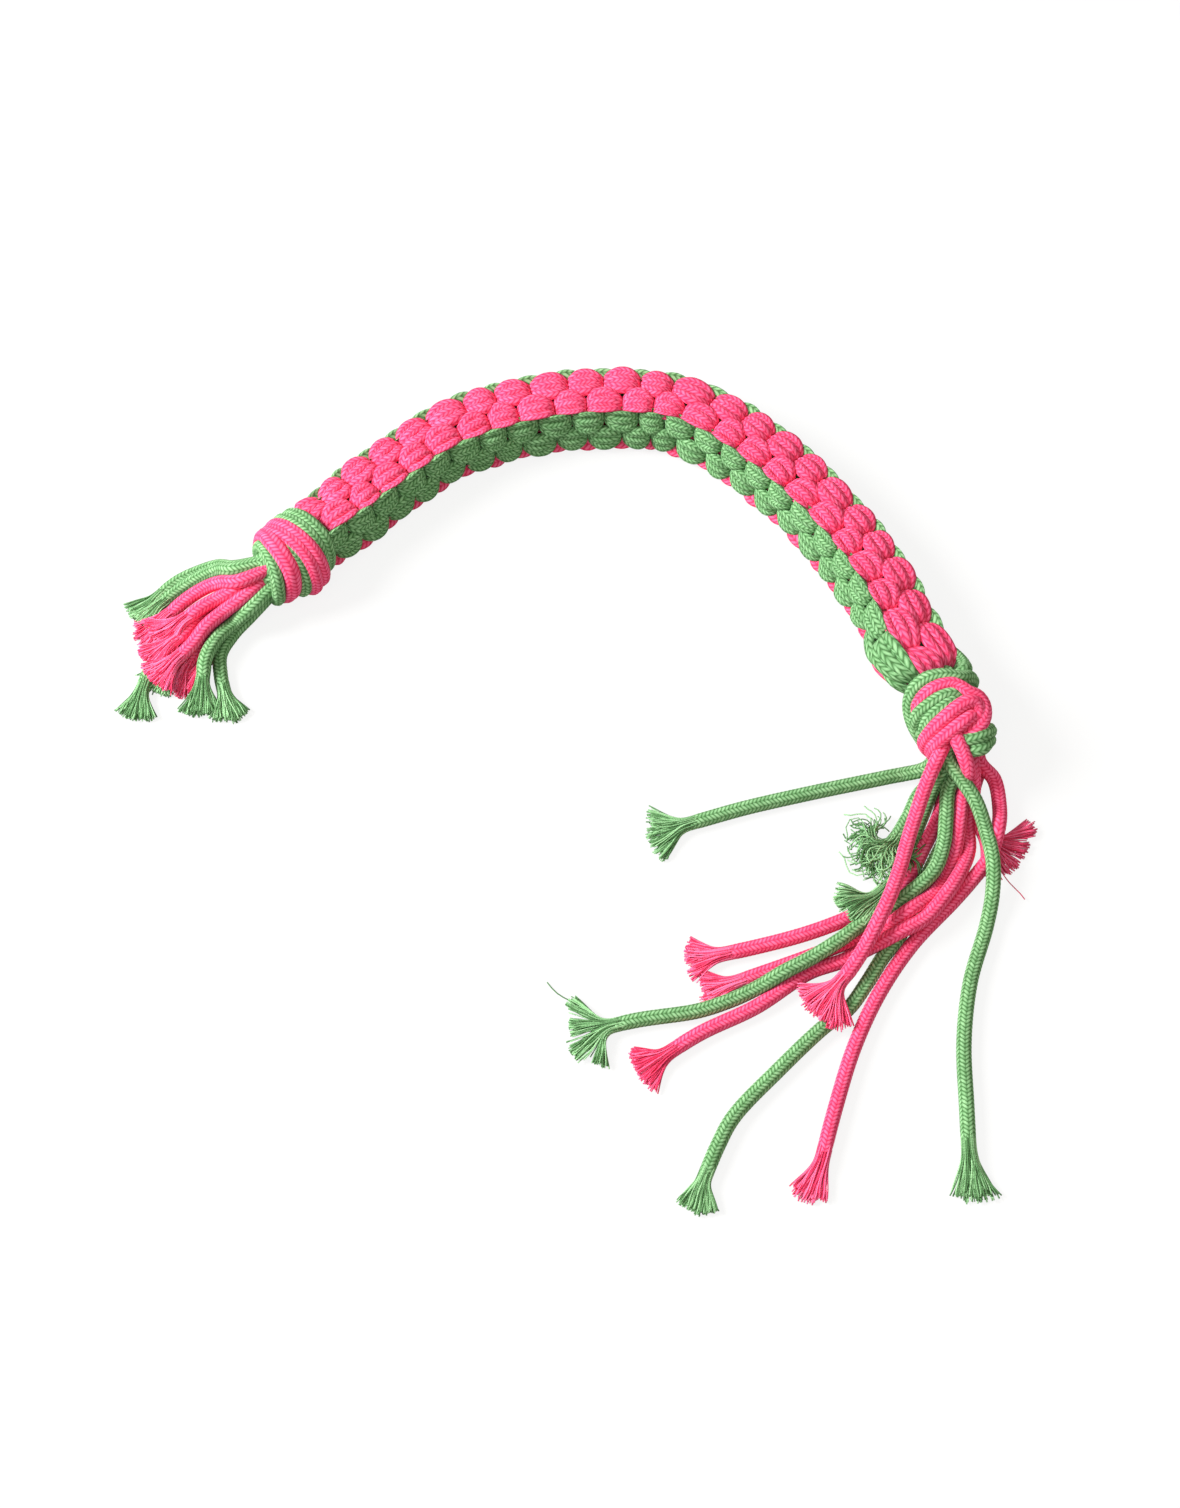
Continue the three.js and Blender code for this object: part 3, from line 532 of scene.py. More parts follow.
def tube_mesh(name, grids, patterns, material, tones=None):
    """A mesh of closed tubes. grids is tubes by stations by sides by 3, in millimetres. Each tube is
    skinned between its rings, and each end is one flat face. patterns has one more side than grids,
    so that the seam's pattern runs on. tones holds one tone for each tube, where its finish reads one."""
    tubes, stations, sides, _ = grids.shape
    points = grids.copy()
    points[..., 2] = np.maximum(points[..., 2], 0)
    number = np.arange(tubes * stations * sides).reshape(tubes, stations, sides)
    beside = np.roll(number, -1, axis=2)
    walls = np.stack([number[:, :-1], beside[:, :-1], beside[:, 1:], number[:, 1:]], axis=-1)
    caps = np.concatenate([number[:, 0, ::-1], number[:, -1]])
    loops = np.concatenate([walls.ravel(), caps.ravel()])
    starts = np.concatenate([
        np.arange(walls.size // 4) * 4,
        walls.size + np.arange(len(caps)) * sides,
    ])
    mesh = bpy.data.meshes.new(name)
    mesh.vertices.add(number.size)
    mesh.vertices.foreach_set("co", (points * MM).ravel())
    mesh.loops.add(len(loops))
    mesh.loops.foreach_set("vertex_index", loops)
    mesh.polygons.add(len(starts))
    mesh.polygons.foreach_set("loop_start", starts)
    here, there = patterns[..., :-1, :], patterns[..., 1:, :]
    wall_pattern = np.stack([here[:, :-1], there[:, :-1], there[:, 1:], here[:, 1:]], axis=-2)
    cap_pattern = np.concatenate([here[:, 0, ::-1], here[:, -1]])
    pattern = mesh.uv_layers.new(name="strands")
    pattern.data.foreach_set("uv", np.concatenate([wall_pattern.ravel(), cap_pattern.ravel()]))
    if tones is not None:
        tone = mesh.attributes.new("tone", "FLOAT", "POINT")
        tone.data.foreach_set("value", np.repeat(tones, stations * sides))
    mesh.update(calc_edges=True)
    mesh.polygons.foreach_set("use_smooth", np.arange(len(starts)) < walls.size // 4)
    mesh.materials.append(material)
    piece = bpy.data.objects.new(name, mesh)
    bpy.context.scene.collection.objects.link(piece)
    return piece


def place(piece, slot, *nodes):
    """The piece rides with the toy, and stands for its solids. Its slot is not used."""
    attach(piece, "root")
    if nodes:
        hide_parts(*nodes)


# Materials

def linear(colour):
    """An sRGB hex value as linear red, green, blue and full opacity."""
    channels = [(colour >> shift & 255) / 255 for shift in (16, 8, 0)]
    return [c / 12.92 if c <= 0.04045 else ((c + 0.055) / 1.055) ** 2.4 for c in channels] + [1]


def add_node(tree, kind, *values, output=None, **named):
    """Adds a shader node and returns its first output, or the named one. Values without a name go to its
    inputs in turn. A name is an input's, with its spaces as underscores, or else a setting of the node's.
    A value that is another node's output is linked."""
    node = tree.nodes.new("ShaderNode" + kind)
    sockets = {socket.identifier.replace(" ", "_"): socket for socket in node.inputs}
    fed = list(zip(node.inputs, values))
    for name, value in named.items():
        if name in sockets:
            fed.append((sockets[name], value))
        else:
            setattr(node, name, value)
    for socket, value in fed:
        if isinstance(value, bpy.types.NodeSocket):
            tree.links.new(value, socket)
        else:
            socket.default_value = value
    results = [socket for socket in node.outputs if output in (None, socket.identifier)]
    return results[0] if results else None


def new_material(name):
    """An empty material, and the function that adds a node to it."""
    material = bpy.data.materials.new(name)
    material.use_nodes = True
    material.node_tree.nodes.clear()
    return material, functools.partial(add_node, material.node_tree)


def braided_cotton(name, shades):
    """Dyed cotton cord, braided from soft-spun yarns: matt, with columns of strands that lean by turns, as
    a herringbone, with a painted highlight where each one crowns and painted shade in the gaps between."""
    material, node = new_material(name)
    on_cord = node("UVMap", uv_map="strands")
    around = node("SeparateXYZ", on_cord, output="X")
    along = node("SeparateXYZ", on_cord, output="Y")
    column = node("Math", around, operation="FLOOR")
    odd = node("Math", column, 2.0, operation="FLOORED_MODULO")
    slope = node("Math", odd, -2.0, 1.0, operation="MULTIPLY_ADD")
    across = node("Math", around, slope, along, operation="MULTIPLY_ADD")
    strand = node("Math", across, operation="FLOOR")

    def half_wave(place):
        """The size of a sine that is nothing at each whole number."""
        turned = node("Math", place, math.pi, operation="MULTIPLY")
        return node("Math", node("Math", turned, operation="SINE"), operation="ABSOLUTE")

    long_wave, cross_wave = half_wave(around), half_wave(across)
    pillow = node("Math", long_wave, cross_wave, operation="MULTIPLY")
    pillow = node("Math", pillow, operation="SQRT")

    # The painted shade of the gaps is deepest where strands meet at a column's edge
    past_end = node("Math", 1.0, long_wave, operation="SUBTRACT")
    past_side = node("Math", 1.0, cross_wave, operation="SUBTRACT")
    gap = node("Math", past_end, EDGE_GAP_SHARE, past_side, operation="MULTIPLY_ADD")

    # No two strands took the dye alike, and each one's fibres run along it
    fleck = node("TexWhiteNoise", node("CombineXYZ", column, strand), output="Value")
    fibre_across = node("Math", across, FIBRES_ACROSS, operation="MULTIPLY")
    fibre_along = node("Math", around, FIBRES_ALONG, operation="MULTIPLY")
    fibre_place = node("CombineXYZ", fibre_across, fibre_along)
    fibres = node("TexNoise", fibre_place, Scale=1.0, Detail=2.0, output="Fac")

    # The dye also drifts over some centimetres of cord
    where = node("TexCoord", output="Object")
    drift = node("TexNoise", where, Scale=1 / (DYE_DRIFT * MM), Detail=2.0, output="Fac")

    # Painted shade: the gaps between strands are darkened towards the darker colour
    gap_shade = node("MapRange", gap, From_Min=1.2, From_Max=0.45)
    shade = node("Mix", gap_shade, data_type="RGBA", A_Color=linear(shades["groove_shade_and_dark_tone"]),
                 B_Color=linear(shades["base"]), output="Result_Color")
    # Painted highlight: each strand's crown is lightened towards the lighter colour, along with its own
    # fleck and fibres
    crest = node("Math", long_wave, 0.5, operation="POWER")
    crown_highlight_and_fleck = node("Math", crest, cross_wave, operation="MULTIPLY")
    crown_highlight_and_fleck = node("Math", fleck, FLECK_SHARE, crown_highlight_and_fleck, operation="MULTIPLY_ADD")
    crown_highlight_and_fleck = node("Math", fibres, FIBRE_LIGHT_SHARE, crown_highlight_and_fleck, operation="MULTIPLY_ADD")
    crown_highlight_and_fleck = node("MapRange", crown_highlight_and_fleck, From_Min=0.9, From_Max=1.95)
    shade = node("Mix", crown_highlight_and_fleck, data_type="RGBA", A_Color=shade, B_Color=linear(shades["highlight_and_light_tone"]),
                 output="Result_Color")
    value = node("MapRange", drift, From_Min=0.3, From_Max=0.7, To_Min=0.98, To_Max=1.11)
    shade = node("HueSaturation", Color=shade, Value=value)

    height = node("Math", fibres, FIBRE_LIFT_SHARE, pillow, operation="MULTIPLY_ADD")
    bump = node("Bump", Height=height, Strength=0.6, Distance=0.13 * MM)
    surface = node("BsdfPrincipled", Base_Color=shade, Roughness=0.95, Normal=bump,
                   Specular_IOR_Level=0.15, Sheen_Weight=0.12, Sheen_Roughness=0.6,
                   Sheen_Tint=linear(shades["highlight_and_light_tone"]))
    node("OutputMaterial", Surface=surface)
    return material


def frayed_cotton(name, shades):
    """The same yarns where the braid has come undone: loose two-ply strands, each with its own tone,
    whose twist shows as fine slanting lines, bumped and with painted shade in their grooves."""
    material, node = new_material(name)
    on_yarn = node("UVMap", uv_map="strands")
    around = node("SeparateXYZ", on_yarn, output="X")
    along = node("SeparateXYZ", on_yarn, output="Y")
    twist = node("Math", around, YARN_PLIES * 2 * math.pi, operation="MULTIPLY")
    twist = node("Math", along, 2 * math.pi / YARN_TWIST, twist, operation="MULTIPLY_ADD")
    twist = node("Math", twist, operation="SINE")
    tone = node("Attribute", attribute_name="tone", output="Fac")
    where = node("TexCoord", output="Object")
    speck = node("TexNoise", where, Scale=1 / (YARN_SPECK * MM), Detail=2.0, output="Fac")
    # The twist's wave, which the bump also raises, paints faint shade into the ply grooves and a faint
    # highlight on the plies
    share = node("Math", twist, TWIST_SHADE_SHARE, tone, operation="MULTIPLY_ADD")
    share = node("Math", speck, SPECK_TONE_SHARE, share, operation="MULTIPLY_ADD")
    low = node("MapRange", share, From_Min=0.15, From_Max=0.6)
    high = node("MapRange", share, From_Min=0.5, From_Max=0.95)
    shade = node("Mix", low, data_type="RGBA", A_Color=linear(shades["groove_shade_and_dark_tone"]),
                 B_Color=linear(shades["base"]), output="Result_Color")
    shade = node("Mix", high, data_type="RGBA", A_Color=shade, B_Color=linear(shades["highlight_and_light_tone"]),
                 output="Result_Color")
    bump = node("Bump", Height=twist, Strength=0.3, Distance=0.05 * MM)
    surface = node("BsdfPrincipled", Base_Color=shade, Roughness=0.92, Normal=bump,
                   Specular_IOR_Level=0.2, Sheen_Weight=0.15, Sheen_Tint=linear(shades["highlight_and_light_tone"]))
    node("OutputMaterial", Surface=surface)
    return material


cord_cotton = {
    "pink": braided_cotton("pink braided cotton cord", PINK),
    "green": braided_cotton("green braided cotton cord", GREEN),
}
yarn_cotton = {
    "pink": frayed_cotton("pink frayed cotton yarn", PINK),
    "green": frayed_cotton("green frayed cotton yarn", GREEN),
}


# The camera

def make_camera():
    """The camera looks along +Y and down. It is back from its target by its distance times the cosine of
    its elevation, and above it by the distance times the sine."""
    camera = bpy.data.objects.new("camera", bpy.data.cameras.new("camera"))
    elevation = math.radians(CAMERA_ELEVATION)
    target = np.array(CAMERA_TARGET) * MM
    back = np.array([0, -math.cos(elevation), math.sin(elevation)]) * CAMERA_DISTANCE * MM
    camera.location = target + back
    camera.rotation_euler = (math.pi / 2 - elevation, 0, 0)
    camera.data.lens = CAMERA_LENS
    camera.data.clip_start = NEAREST_SHOWN * MM
    camera.data.clip_end = FARTHEST_SHOWN * MM
    bpy.context.scene.collection.objects.link(camera)
    bpy.context.scene.camera = camera


# The sinnet's own frame

sinnet_line = smooth_line([(x, y, 0) for x, y in SINNET_ROUTE], ROUTE_POINTS)
sinnet_distance = distance_along(sinnet_line)


def end_share(distance):
    """How much of an end's shape holds at a distance from it: a smooth step from 1 down to 0."""
    return 1 - smoothstep(distance / DRAWN_IN_LENGTH)


def roll_at(along):
    """How far the sinnet has rolled about its own line, read between rolls at even distances."""
    known = np.linspace(0, SINNET_LENGTH, len(ROLL_DEGREES))
    return np.radians(np.interp(along, known, ROLL_DEGREES))


def sinnet_centre(along):
    """The sinnet's centre: its route over the floor, at the height where its lowest stitch just flattens,
    and raised by a smooth step to each knot's axis."""
    roll = roll_at(along)
    seat = SINNET_HALF_WIDTH * np.cos(roll) + STITCH_FLAT_REACH * np.sin(roll) - SINNET_FLAT
    rise = end_share(along) * (KNOT_HEIGHTS["left"] - seat)
    rise = rise + end_share(SINNET_LENGTH - along) * (KNOT_HEIGHTS["right"] - seat)
    centre = take_at(sinnet_line, sinnet_distance, along / SINNET_LENGTH * sinnet_distance[-1])
    centre[..., 2] = seat + rise
    return centre


def on_sinnet(front, top, along):
    """Points at a place in the sinnet's section, towards its front and top faces, and along it. The layers
    drift along it by the sum of two sines, so that no two stitches are as long as each other, and the last
    ones are stretched by a smooth step. Before the right knot the front face swells by a bell curve, and
    a wider one draws the underside up behind it."""
    drift = sum(np.sin(2 * np.pi * along / length) for length in DRIFT_LENGTHS) * DRIFT_REACH
    along = along + drift * np.sin(np.pi * np.clip(along / SINNET_LENGTH, 0, 1)) ** 0.5
    along = along + LAST_STRETCH * smoothstep(1 - (SINNET_LENGTH - along) / LAST_STRETCH_LENGTH)
    inside = np.clip(along, 0, SINNET_LENGTH)
    centre = sinnet_centre(inside)
    direction = unit(sinnet_centre(inside + AXIS_STEP) - sinnet_centre(inside - AXIS_STEP))
    upright = unit(UP - direction * direction[..., 2:])
    forward = np.cross(direction, upright)
    roll = roll_at(inside)[..., None]
    facing_front = forward * np.cos(roll) + upright * np.sin(roll)
    facing_top = upright * np.cos(roll) - forward * np.sin(roll)
    width = 1 + (END_WIDTH_SHARES["left"] - 1) * end_share(inside)
    width = width + (END_WIDTH_SHARES["right"] - 1) * end_share(SINNET_LENGTH - inside)
    width = width * (1 - END_SQUEEZE_SHARE * smoothstep(np.abs(along - inside) / END_SQUEEZE_LENGTH))
    width = width[..., None]
    from_bulge = SINNET_LENGTH - BULGE_FROM_END - along
    swell = BULGE_REACH * np.exp(-(from_bulge / BULGE_LENGTH) ** 2)
    tuck = BULGE_TUCK * np.exp(-(from_bulge / TUCK_LENGTH) ** 2)
    top = top + tuck * smoothstep(-top / SINNET_HALF_WIDTH)
    swell = swell * np.clip(1 - (top / SINNET_HALF_WIDTH) ** 2, 0, 1)
    front = front + swell * smoothstep(front / SINNET_HALF_WIDTH)
    past = direction * (along - inside)[..., None]
    return centre + (facing_front * front[..., None] + facing_top * top[..., None]) * width + past


# The sinnet's cords

def sinnet_points(first_travel, fold_across, middle_across, reach, changes):
    """Where one cord goes, as places across its lane, out from the axis, and along the sinnet.

    In each layer it crosses the sinnet high, drops half a layer in the middle, and comes out on the far
    side, where it makes one stitch and turns back. The stitch is the upper half of a rounded square: for
    an angle from -90 to 90 degrees, its sine and cosine, both to the power that makes it as square as
    given, times half its length and its height. Across the lane it bows as one less the square does."""
    power = 2 / STITCH_SQUARENESS
    angle = np.radians(np.linspace(-90, 90, STITCH_POINTS))
    offset = signed_power(np.sin(angle), power) * STITCH_HALF_LENGTH
    rise = np.clip(np.cos(angle), 0, 1) ** power
    points = []
    for layer in range(-1, LAYER_COUNT + 1):
        travel = first_travel if layer % 2 == 0 else -first_travel
        over = (layer + 3 / 4) * LAYER_HEIGHT
        under = (layer + 1 / 4) * LAYER_HEIGHT
        points.append([(fold_across, -CROSSING_REACH * travel, over),
                       (fold_across, CROSSING_REACH * travel, under)])
        aside, further, lean = changes[layer]
        share = offset / STITCH_HALF_LENGTH
        across = fold_across + (middle_across + aside - fold_across) * (1 - share ** 2)
        across = across + lean * rise * share
        out = (FOLD_REACH + (reach + further - FOLD_REACH) * rise) * travel
        points.append(np.stack([across, out, (layer + 1) * LAYER_HEIGHT + offset], axis=-1))
    return np.vstack(points[:-1])


def pressed(grid, line, first_travel):
    """The cord's surface, pressed flat on what it meets, so that a stitch doesn't go past two planes.

    One is halfway to the next stitch of its row. The other is between its face and the next one round the
    corner, and leans by the size of a wave towards the face whose stitch is at its valley there. Inside the
    sinnet, below the stitches, the cord is free of both."""
    first_side = np.where(line[:, 1:2] * first_travel > 0, 1, 0)
    row = first_side * LAYER_HEIGHT
    middle = np.round((line[:, 2:] - row) / (2 * LAYER_HEIGHT)) * 2 * LAYER_HEIGHT + row
    reach = LAYER_HEIGHT - STITCH_GAP
    in_stitch = smoothstep((np.abs(line[:, 1:2]) - FOLD_REACH) / PRESS_EASE)
    held = np.clip(grid[..., 2], middle - reach, middle + reach)
    along = grid[..., 2] + (held - grid[..., 2]) * in_stitch
    out = np.abs(grid[..., 1])
    lean = CORNER_LEAN * (1 - 2 * first_side) * np.cos(np.pi * along / LAYER_HEIGHT)
    limit = out + lean + np.maximum(0, CORNER_DEPTH - out) * CORNER_RISE
    return np.stack([np.minimum(grid[..., 0], limit), grid[..., 1], along], axis=-1)


def sinnet_cord(name, colour, lane_side, first_travel, seat, changes):
    """One of the three cords of a bundle. It is as wide as the stitches need where they show, and pressed
    thin inside, where its stations are also further apart. Its surface is worked out along a straight
    sinnet, and bent with it."""
    line = smooth_line(sinnet_points(first_travel, *STITCH_SEATS[seat], changes), SPAN_POINTS)
    shown = smoothstep((np.abs(line[:, 1]) - CORE_REACH) / CORE_EASE)
    step = np.linalg.norm(np.diff(line, axis=0), axis=1)
    density = 1 / (CORE_STEP + (STITCH_STEP - CORE_STEP) * shown)
    count = np.concatenate([[0], np.cumsum(step * (density[1:] + density[:-1]) / 2)])
    rows = take_at(np.hstack([line, shown[:, None]]), count, np.linspace(0, count[-1], round(count[-1])))
    line, shown = rows[:, :3], rows[:, 3]
    outward = np.cross(unit(np.gradient(line, axis=0)), [1.0, 0.0, 0.0])
    half_width = CORE_RADIUS + (STITCH_CORD_HALF_WIDTH - CORE_RADIUS) * shown
    half_height = CORE_RADIUS + (STITCH_CORD_HALF_HEIGHT - CORE_RADIUS) * shown
    grid, pattern = cord_surface(line, outward, half_width, half_height, SINNET_SIDES, relief=0)
    grid = pressed(grid, line, first_travel)
    lane, travelled, along = grid[..., 0] * lane_side, grid[..., 1], grid[..., 2]
    front, top = (lane, travelled) if colour == "pink" else (travelled, lane)
    bent = on_sinnet(front.ravel(), top.ravel(), along.ravel()).reshape(grid.shape)
    if (colour == "pink") != (lane_side == 1):
        bent, pattern = bent[:, ::-1], pattern[:, ::-1]
    return tube_mesh(name, bent[None], pattern[None], cord_cotton[colour])


def make_sinnet():
    """The sinnet's twelve cords. A bundle's three cords vary together from stitch to stitch, and each of
    them also a little by itself."""
    chance = np.random.default_rng(STITCH_SEED)
    for node, (colour, lane_side, first_travel) in SINNET_BUNDLES.items():
        shared = chance.normal(0, STITCH_VARIATION, (LAYER_COUNT + 2, 3))
        for seat in range(len(STITCH_SEATS)):
            name = f"{node.replace('bundle', 'cord')}_{seat + 1}"
            changes = shared + chance.normal(0, CORD_VARIATION, (LAYER_COUNT + 2, 3))
            piece = sinnet_cord(name, colour, lane_side, first_travel, seat, changes)
            place(piece, f"{colour}_cord", node)


# The knots

def knot_seat(side):
    """The knot's centre, its axis towards the tails, and the level direction across it."""
    at_start = side == "left"
    end = np.array([0.0 if at_start else SINNET_LENGTH])
    nearby = np.array([AXIS_STEP if at_start else SINNET_LENGTH - AXIS_STEP])
    axis = (sinnet_centre(end) - sinnet_centre(nearby))[0]
    axis[2] = 0
    axis = unit(axis)
    across = np.cross(UP, axis)
    return sinnet_centre(end)[0] + axis * KNOT_HALF_LENGTH, axis, across


def heart_radius(side, along):
    """The heart's radius at a distance along its axis: the parabola through its radii at its start, its
    middle and its end, which stays level a little past both ends."""
    start, middle, end = HEART_RADII[side]
    share = np.clip(along / KNOT_HALF_LENGTH, -HEART_END_SHARE, HEART_END_SHARE)
    return middle + (end - start) * share / 2 + ((start + end) / 2 - middle) * share * share


def knot_strand(name, side, colour, half_width, places):
    """A cord laid over the knot: its centre is the knot's own, plus the axis times its place along, plus
    the heart's radius, its own and its lift, times the direction at its angle round the knot."""
    centre, axis, across = knot_seat(side)
    degrees, along, lift = np.array(places, float).T
    angle = np.radians(degrees)
    reach = heart_radius(side, along) + STRAND_HALF_HEIGHT - STRAND_SINK + lift
    out = UP * np.cos(angle)[:, None] + across * np.sin(angle)[:, None]
    points = centre + axis * along[:, None] + out * reach[:, None]
    line = even_line(points, CORD_STEP)
    middle = centre + axis * ((line - centre) @ axis)[:, None]
    outward = unit(line - middle)
    grid, pattern = cord_surface(line, outward, half_width, STRAND_HALF_HEIGHT, CORD_SIDES,
                                 squareness=STRAND_SQUARENESS)
    return tube_mesh(name, grid[None], pattern[None], cord_cotton[colour])


def knot_heart(side):
    """The pressed bundle inside a knot: a round about the axis whose radius is the heart's, drawn in
    between its cords by the size of a wave, times the cube root of one less the sixth power of the share of
    its half length, which closes its ends over."""
    centre, axis, across = knot_seat(side)
    share = np.sin(np.radians(np.linspace(-HEART_POLE_DEGREES, HEART_POLE_DEGREES, HEART_STATIONS)))
    along = share * KNOT_HALF_LENGTH
    angle = np.linspace(0, 2 * np.pi, HEART_SIDES, endpoint=False)
    ribs = 1 - HEART_CREASE_SHARE * (1 - np.abs(np.sin(HEART_CORDS / 2 * angle)))
    reach = (heart_radius(side, along) * (1 - np.abs(share) ** 6) ** (1 / 3))[:, None] * ribs
    out = UP * np.cos(angle)[:, None] + across * np.sin(angle)[:, None]
    grid = centre + axis * along[:, None, None] + out * reach[..., None]
    around = np.linspace(0, HEART_CORDS / 4 * COLUMNS_AROUND, HEART_SIDES + 1)
    pattern = np.stack(np.broadcast_arrays(around[None, :], along[:, None] / STRAND_PITCH), axis=-1)
    return tube_mesh(f"{side}_knot_bundle", grid[None], pattern[None], cord_cotton["green"])


def make_knot(side):
    """A knot's heart, and the cords that show on it, which stand for its bands of the same colour."""
    place(knot_heart(side), "green_cord", f"{side}_knot_heart")
    for number, (colour, half_width, places) in enumerate(KNOT_STRANDS[side], 1):
        name = f"{side}_knot_strand_{number}_{colour}"
        piece = knot_strand(name, side, colour, half_width, places)
        nodes = [f"{side}_knot_{node}" for node in KNOT_NODES[side] if node.endswith(colour)]
        place(piece, f"{colour}_cord", *nodes)


# The tails

def yarn_lines(line, rest, facts, chance):
    """The centre lines of a frayed end's yarns, and how far along its own each of their points is.

    Yarns leave the cord's section side by side. A yarn's heading turns by a smooth step from the cord's to
    its own place in the fan, which is drawn towards its clump's on the way, and wanders by a sine of its
    own. Its line is the sum of its steps. Its height goes by a smooth step from the cord's to that of what
    it rests on, and a half wave lofts it."""
    style = TASSELS[facts.get("style", "fan")]
    reach, spread, turn = facts.get("fray", USUAL_FRAY)
    direction = unit((line[-1] - line[-FRAY_AIM_POINTS]) * [1, 1, 0])
    side = np.cross(direction, UP)
    fan, layer = chance.uniform(-1, 1, (2, YARNS))
    count = style["clumps"]
    clumps = np.linspace(-CLUMP_SPAN_SHARE, CLUMP_SPAN_SHARE, count)
    clumps = clumps + chance.normal(0, CLUMP_SCATTER_SHARE / count, count)
    clump = np.argmin(np.abs(fan[:, None] - clumps), axis=1)
    back = chance.uniform(*YARN_STARTS, YARNS)
    longer = chance.uniform(*CLUMP_LENGTH_SHARES, count)[clump]
    longer = longer * chance.uniform(*YARN_LENGTH_SHARES, YARNS)
    longer[:style["strays"]] *= STRAY_LENGTH_SHARE
    length = reach * longer + back
    travelled = np.linspace(0, 1, YARN_STATIONS) * length[:, None] - back[:, None]
    way = np.clip(travelled / reach, 0, None)

    # The way that each yarn takes over the floor
    drawn = fan[:, None] + (clumps[clump] - fan)[:, None] * style["gather"] * np.minimum(way, 1)
    phase, rate, bend = chance.uniform(LEAST_WANDER, MOST_WANDER, (YARNS, 3)).T[..., None]
    wander = (bend + np.sin(phase + rate * way) - np.sin(phase)) * way * style["curl"]
    turned = (np.radians(spread) * drawn + np.radians(turn)) * smoothstep(way / SPREAD_SHARE)
    heading = turned + wander
    going = direction * np.cos(heading)[..., None] + side * np.sin(heading)[..., None]
    step = going * (length / (YARN_STATIONS - 1))[:, None, None]
    points = line[-1] - direction * back[:, None, None] + np.cumsum(step, axis=1) - step[:, :1]
    inside = CORD_RADIUS - YARN_RADIUS
    points = points + side * (fan * inside)[:, None, None]

    # Its height on the way
    root = np.sqrt(1 - fan ** 2) * layer * inside
    sink = smoothstep(way / SETTLE_SHARE)
    resting = rest + YARN_RADIUS + (layer[:, None] + 1) / 2 * FRAY_THICKNESS
    loft = chance.uniform(0, style["loft"], (YARNS, 1)) * np.sin(np.pi * np.clip(way / LOFT_SHARE, 0, 1))
    points[..., 2] = (points[..., 2] + root[:, None]) * (1 - sink) + resting * sink + loft
    points[..., 2] = np.maximum(points[..., 2], YARN_RADIUS)
    return points, travelled


def tassel(name, colour, line, rest, facts, chance):
    """A frayed end: each of its yarns is its line, plus its side times its radius times the cosine of the
    angle, plus its top times its radius times the sine."""
    points, travelled = yarn_lines(line, rest, facts, chance)
    ahead = unit(np.gradient(points, axis=1))
    side = unit(np.cross(ahead, UP))
    top = np.cross(side, ahead)
    angle = np.linspace(0, 2 * np.pi, YARN_SIDES, endpoint=False)
    radius = YARN_RADIUS * chance.uniform(*YARN_RADIUS_SHARES, (YARNS, 1, 1))
    grids = points[:, :, None, :] + side[:, :, None, :] * (np.cos(angle) * radius)[..., None]
    grids = grids + top[:, :, None, :] * (np.sin(angle) * radius)[..., None]
    around = np.linspace(0, 1, YARN_SIDES + 1)
    pattern = np.stack(np.broadcast_arrays(around, travelled[..., None]), axis=-1)
    tones = chance.uniform(*YARN_TONE_SHARES, YARNS)
    return tube_mesh(name, grids, pattern, yarn_cotton[colour], tones)


def make_tail(side, name, facts, chance):
    """A tail: round along its length, squeezed where it leaves the knot, and drawn in under the yarns
    where it frays."""
    centre, axis, across = knot_seat(side)
    column, row = facts["slot"]
    spacing = SLOT_SPACINGS[side]
    start = centre + axis * TAIL_START + (across * column + UP * row) * spacing * START_SPREAD_SHARE
    route = [(*point, LYING_HEIGHT)[:3] for point in facts["route"]]
    whole = even_line([start, *route], CORD_STEP)
    way = distance_along(whole)
    length = way[-1] - facts.get("fray", USUAL_FRAY)[0] + BRAID_UNDER_FRAY
    line = whole[way <= length]
    shown = way[way <= length]
    line[:, 2] = np.maximum(line[:, 2], CORD_RADIUS)
    neck = smoothstep(shown / NECK_LENGTH)
    fray = smoothstep((shown - length + FRAY_BACK) / FRAY_BACK)
    radius = CORD_RADIUS * (NECK_SHARE + (1 - NECK_SHARE) * neck) * (1 - FRAY_DRAWN_SHARE * fray)
    colour = name.split("_")[0]
    wider = radius * (1 + FRAY_WIDER_SHARE * fray)
    grid, pattern = cord_surface(line, UP, wider, radius, CORD_SIDES)
    cord = tube_mesh(f"{side}_tail_cord_{name}", grid[None], pattern[None], cord_cotton[colour])
    rest = max(0, route[-1][2] - CORD_RADIUS)
    end = tassel(f"{side}_tail_fray_{name}", colour, line, rest, facts, chance)
    place(cord, f"{colour}_cord", f"{side}_tail_{name}")
    place(end, f"{colour}_cord")


def make_tails():
    """All the tails, with one run of random draws for their yarns."""
    chance = np.random.default_rng(TAIL_SEED)
    for side, tails in TAILS.items():
        for name, facts in tails.items():
            make_tail(side, name, facts, chance)


# Stage and light

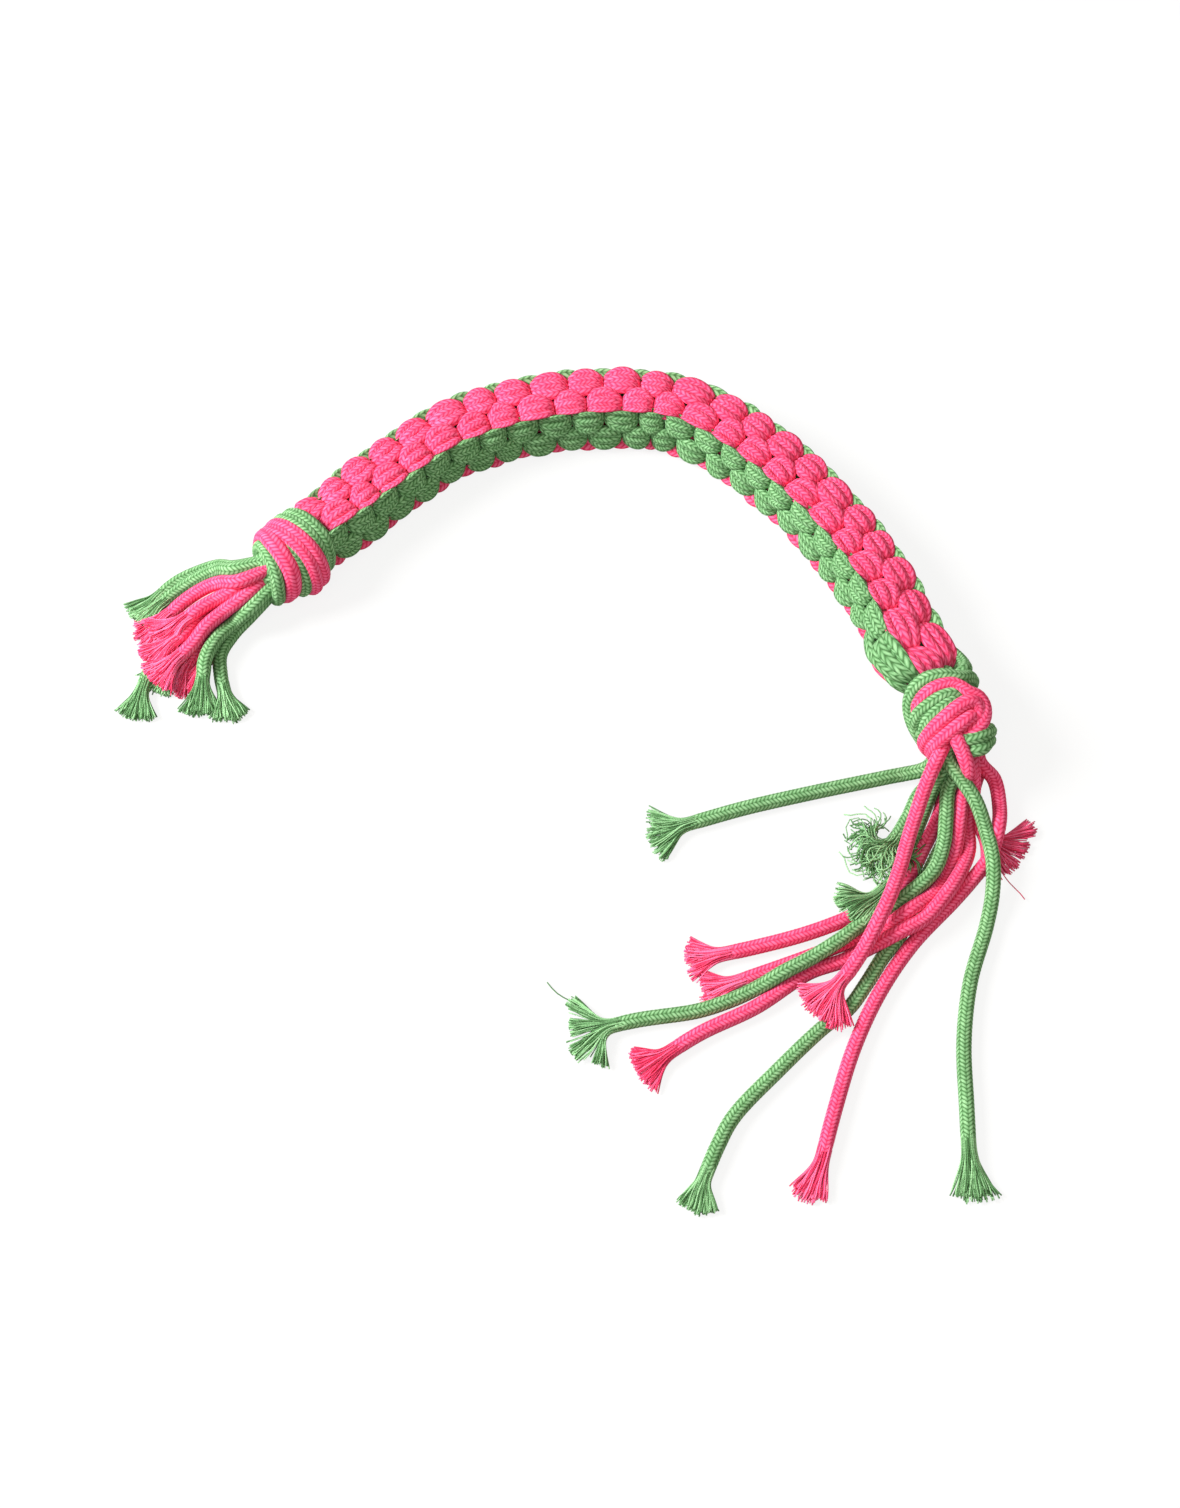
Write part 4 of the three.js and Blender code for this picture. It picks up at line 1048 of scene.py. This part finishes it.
def make_stage():
    """A white sweep, lit as the toy is but shown nearly white to the camera, so that only its shadow
    shows."""
    corners = np.array([(-1, -1, 0), (1, -1, 0), (1, 1, 0), (-1, 1, 0)]) * FLOOR_REACH - UP * FLOOR_DROP
    mesh = bpy.data.meshes.new("floor")
    mesh.from_pydata((corners * MM).tolist(), [], [(0, 1, 2, 3)])
    floor = bpy.data.objects.new("floor", mesh)
    bpy.context.scene.collection.objects.link(floor)
    material, node = new_material("white paper sweep")
    seen = seen_by_eye(node)
    grey = node("MapRange", seen, To_Min=FLOOR_GREYS[0], To_Max=FLOOR_GREYS[1])
    paper = node("BsdfDiffuse", Color=grey)
    glow = node("Emission", Color=linear(WHITE), Strength=1.0)
    share = node("Math", seen, FLOOR_GLOW_SHARE, operation="MULTIPLY")
    both = node("MixShader", share, paper, glow)
    node("OutputMaterial", Surface=both)
    mesh.materials.append(material)


def seen_by_eye(node):
    """1 for a ray straight from the camera or off something glossy or clear, and 0 for light's own."""
    camera = node("LightPath", output="Is Camera Ray")
    glossy = node("LightPath", output="Is Glossy Ray")
    clear = node("LightPath", output="Is Transmission Ray")
    seen = node("Math", camera, glossy, operation="MAXIMUM")
    return node("Math", seen, clear, operation="MAXIMUM")


def make_lamp(name, stand, size, energy):
    """A round softbox, stood at a place in millimetres and turned towards the toy."""
    lamp = bpy.data.objects.new(name, bpy.data.lights.new(name, "AREA"))
    lamp.data.shape = "DISK"
    lamp.data.size = size * MM
    lamp.data.energy = energy
    aim = np.array(LAMP_AIM) - np.array(stand)
    lamp.location = np.array(stand) * MM
    tilt = math.atan2(math.hypot(aim[0], aim[1]), -aim[2])
    lamp.rotation_euler = (tilt, 0, math.atan2(-aim[0], aim[1]))
    bpy.context.scene.collection.objects.link(lamp)


def make_light():
    """Two softboxes, in a studio that is a plain level to the light's own rays, and white to the eye."""
    world = bpy.data.worlds.new("studio")
    bpy.context.scene.world = world
    world.use_nodes = True
    world.node_tree.nodes.clear()
    node = functools.partial(add_node, world.node_tree)
    seen = seen_by_eye(node)
    strength = node("MapRange", seen, To_Min=AMBIENT_LIGHT, To_Max=1.0)
    tint = node("Mix", seen, data_type="RGBA", A_Color=linear(AMBIENT_TINT), B_Color=linear(WHITE),
                output="Result_Color")
    sky = node("Background", Color=tint, Strength=strength)
    node("OutputWorld", Surface=sky)
    make_lamp("key softbox", **KEY_LAMP)
    make_lamp("fill softbox", **FILL_LAMP)


make_camera()
make_tails()
make_sinnet()
for side in KNOT_STRANDS:
    make_knot(side)
make_stage()
make_light()
bpy.context.scene.view_settings.view_transform = "Standard"
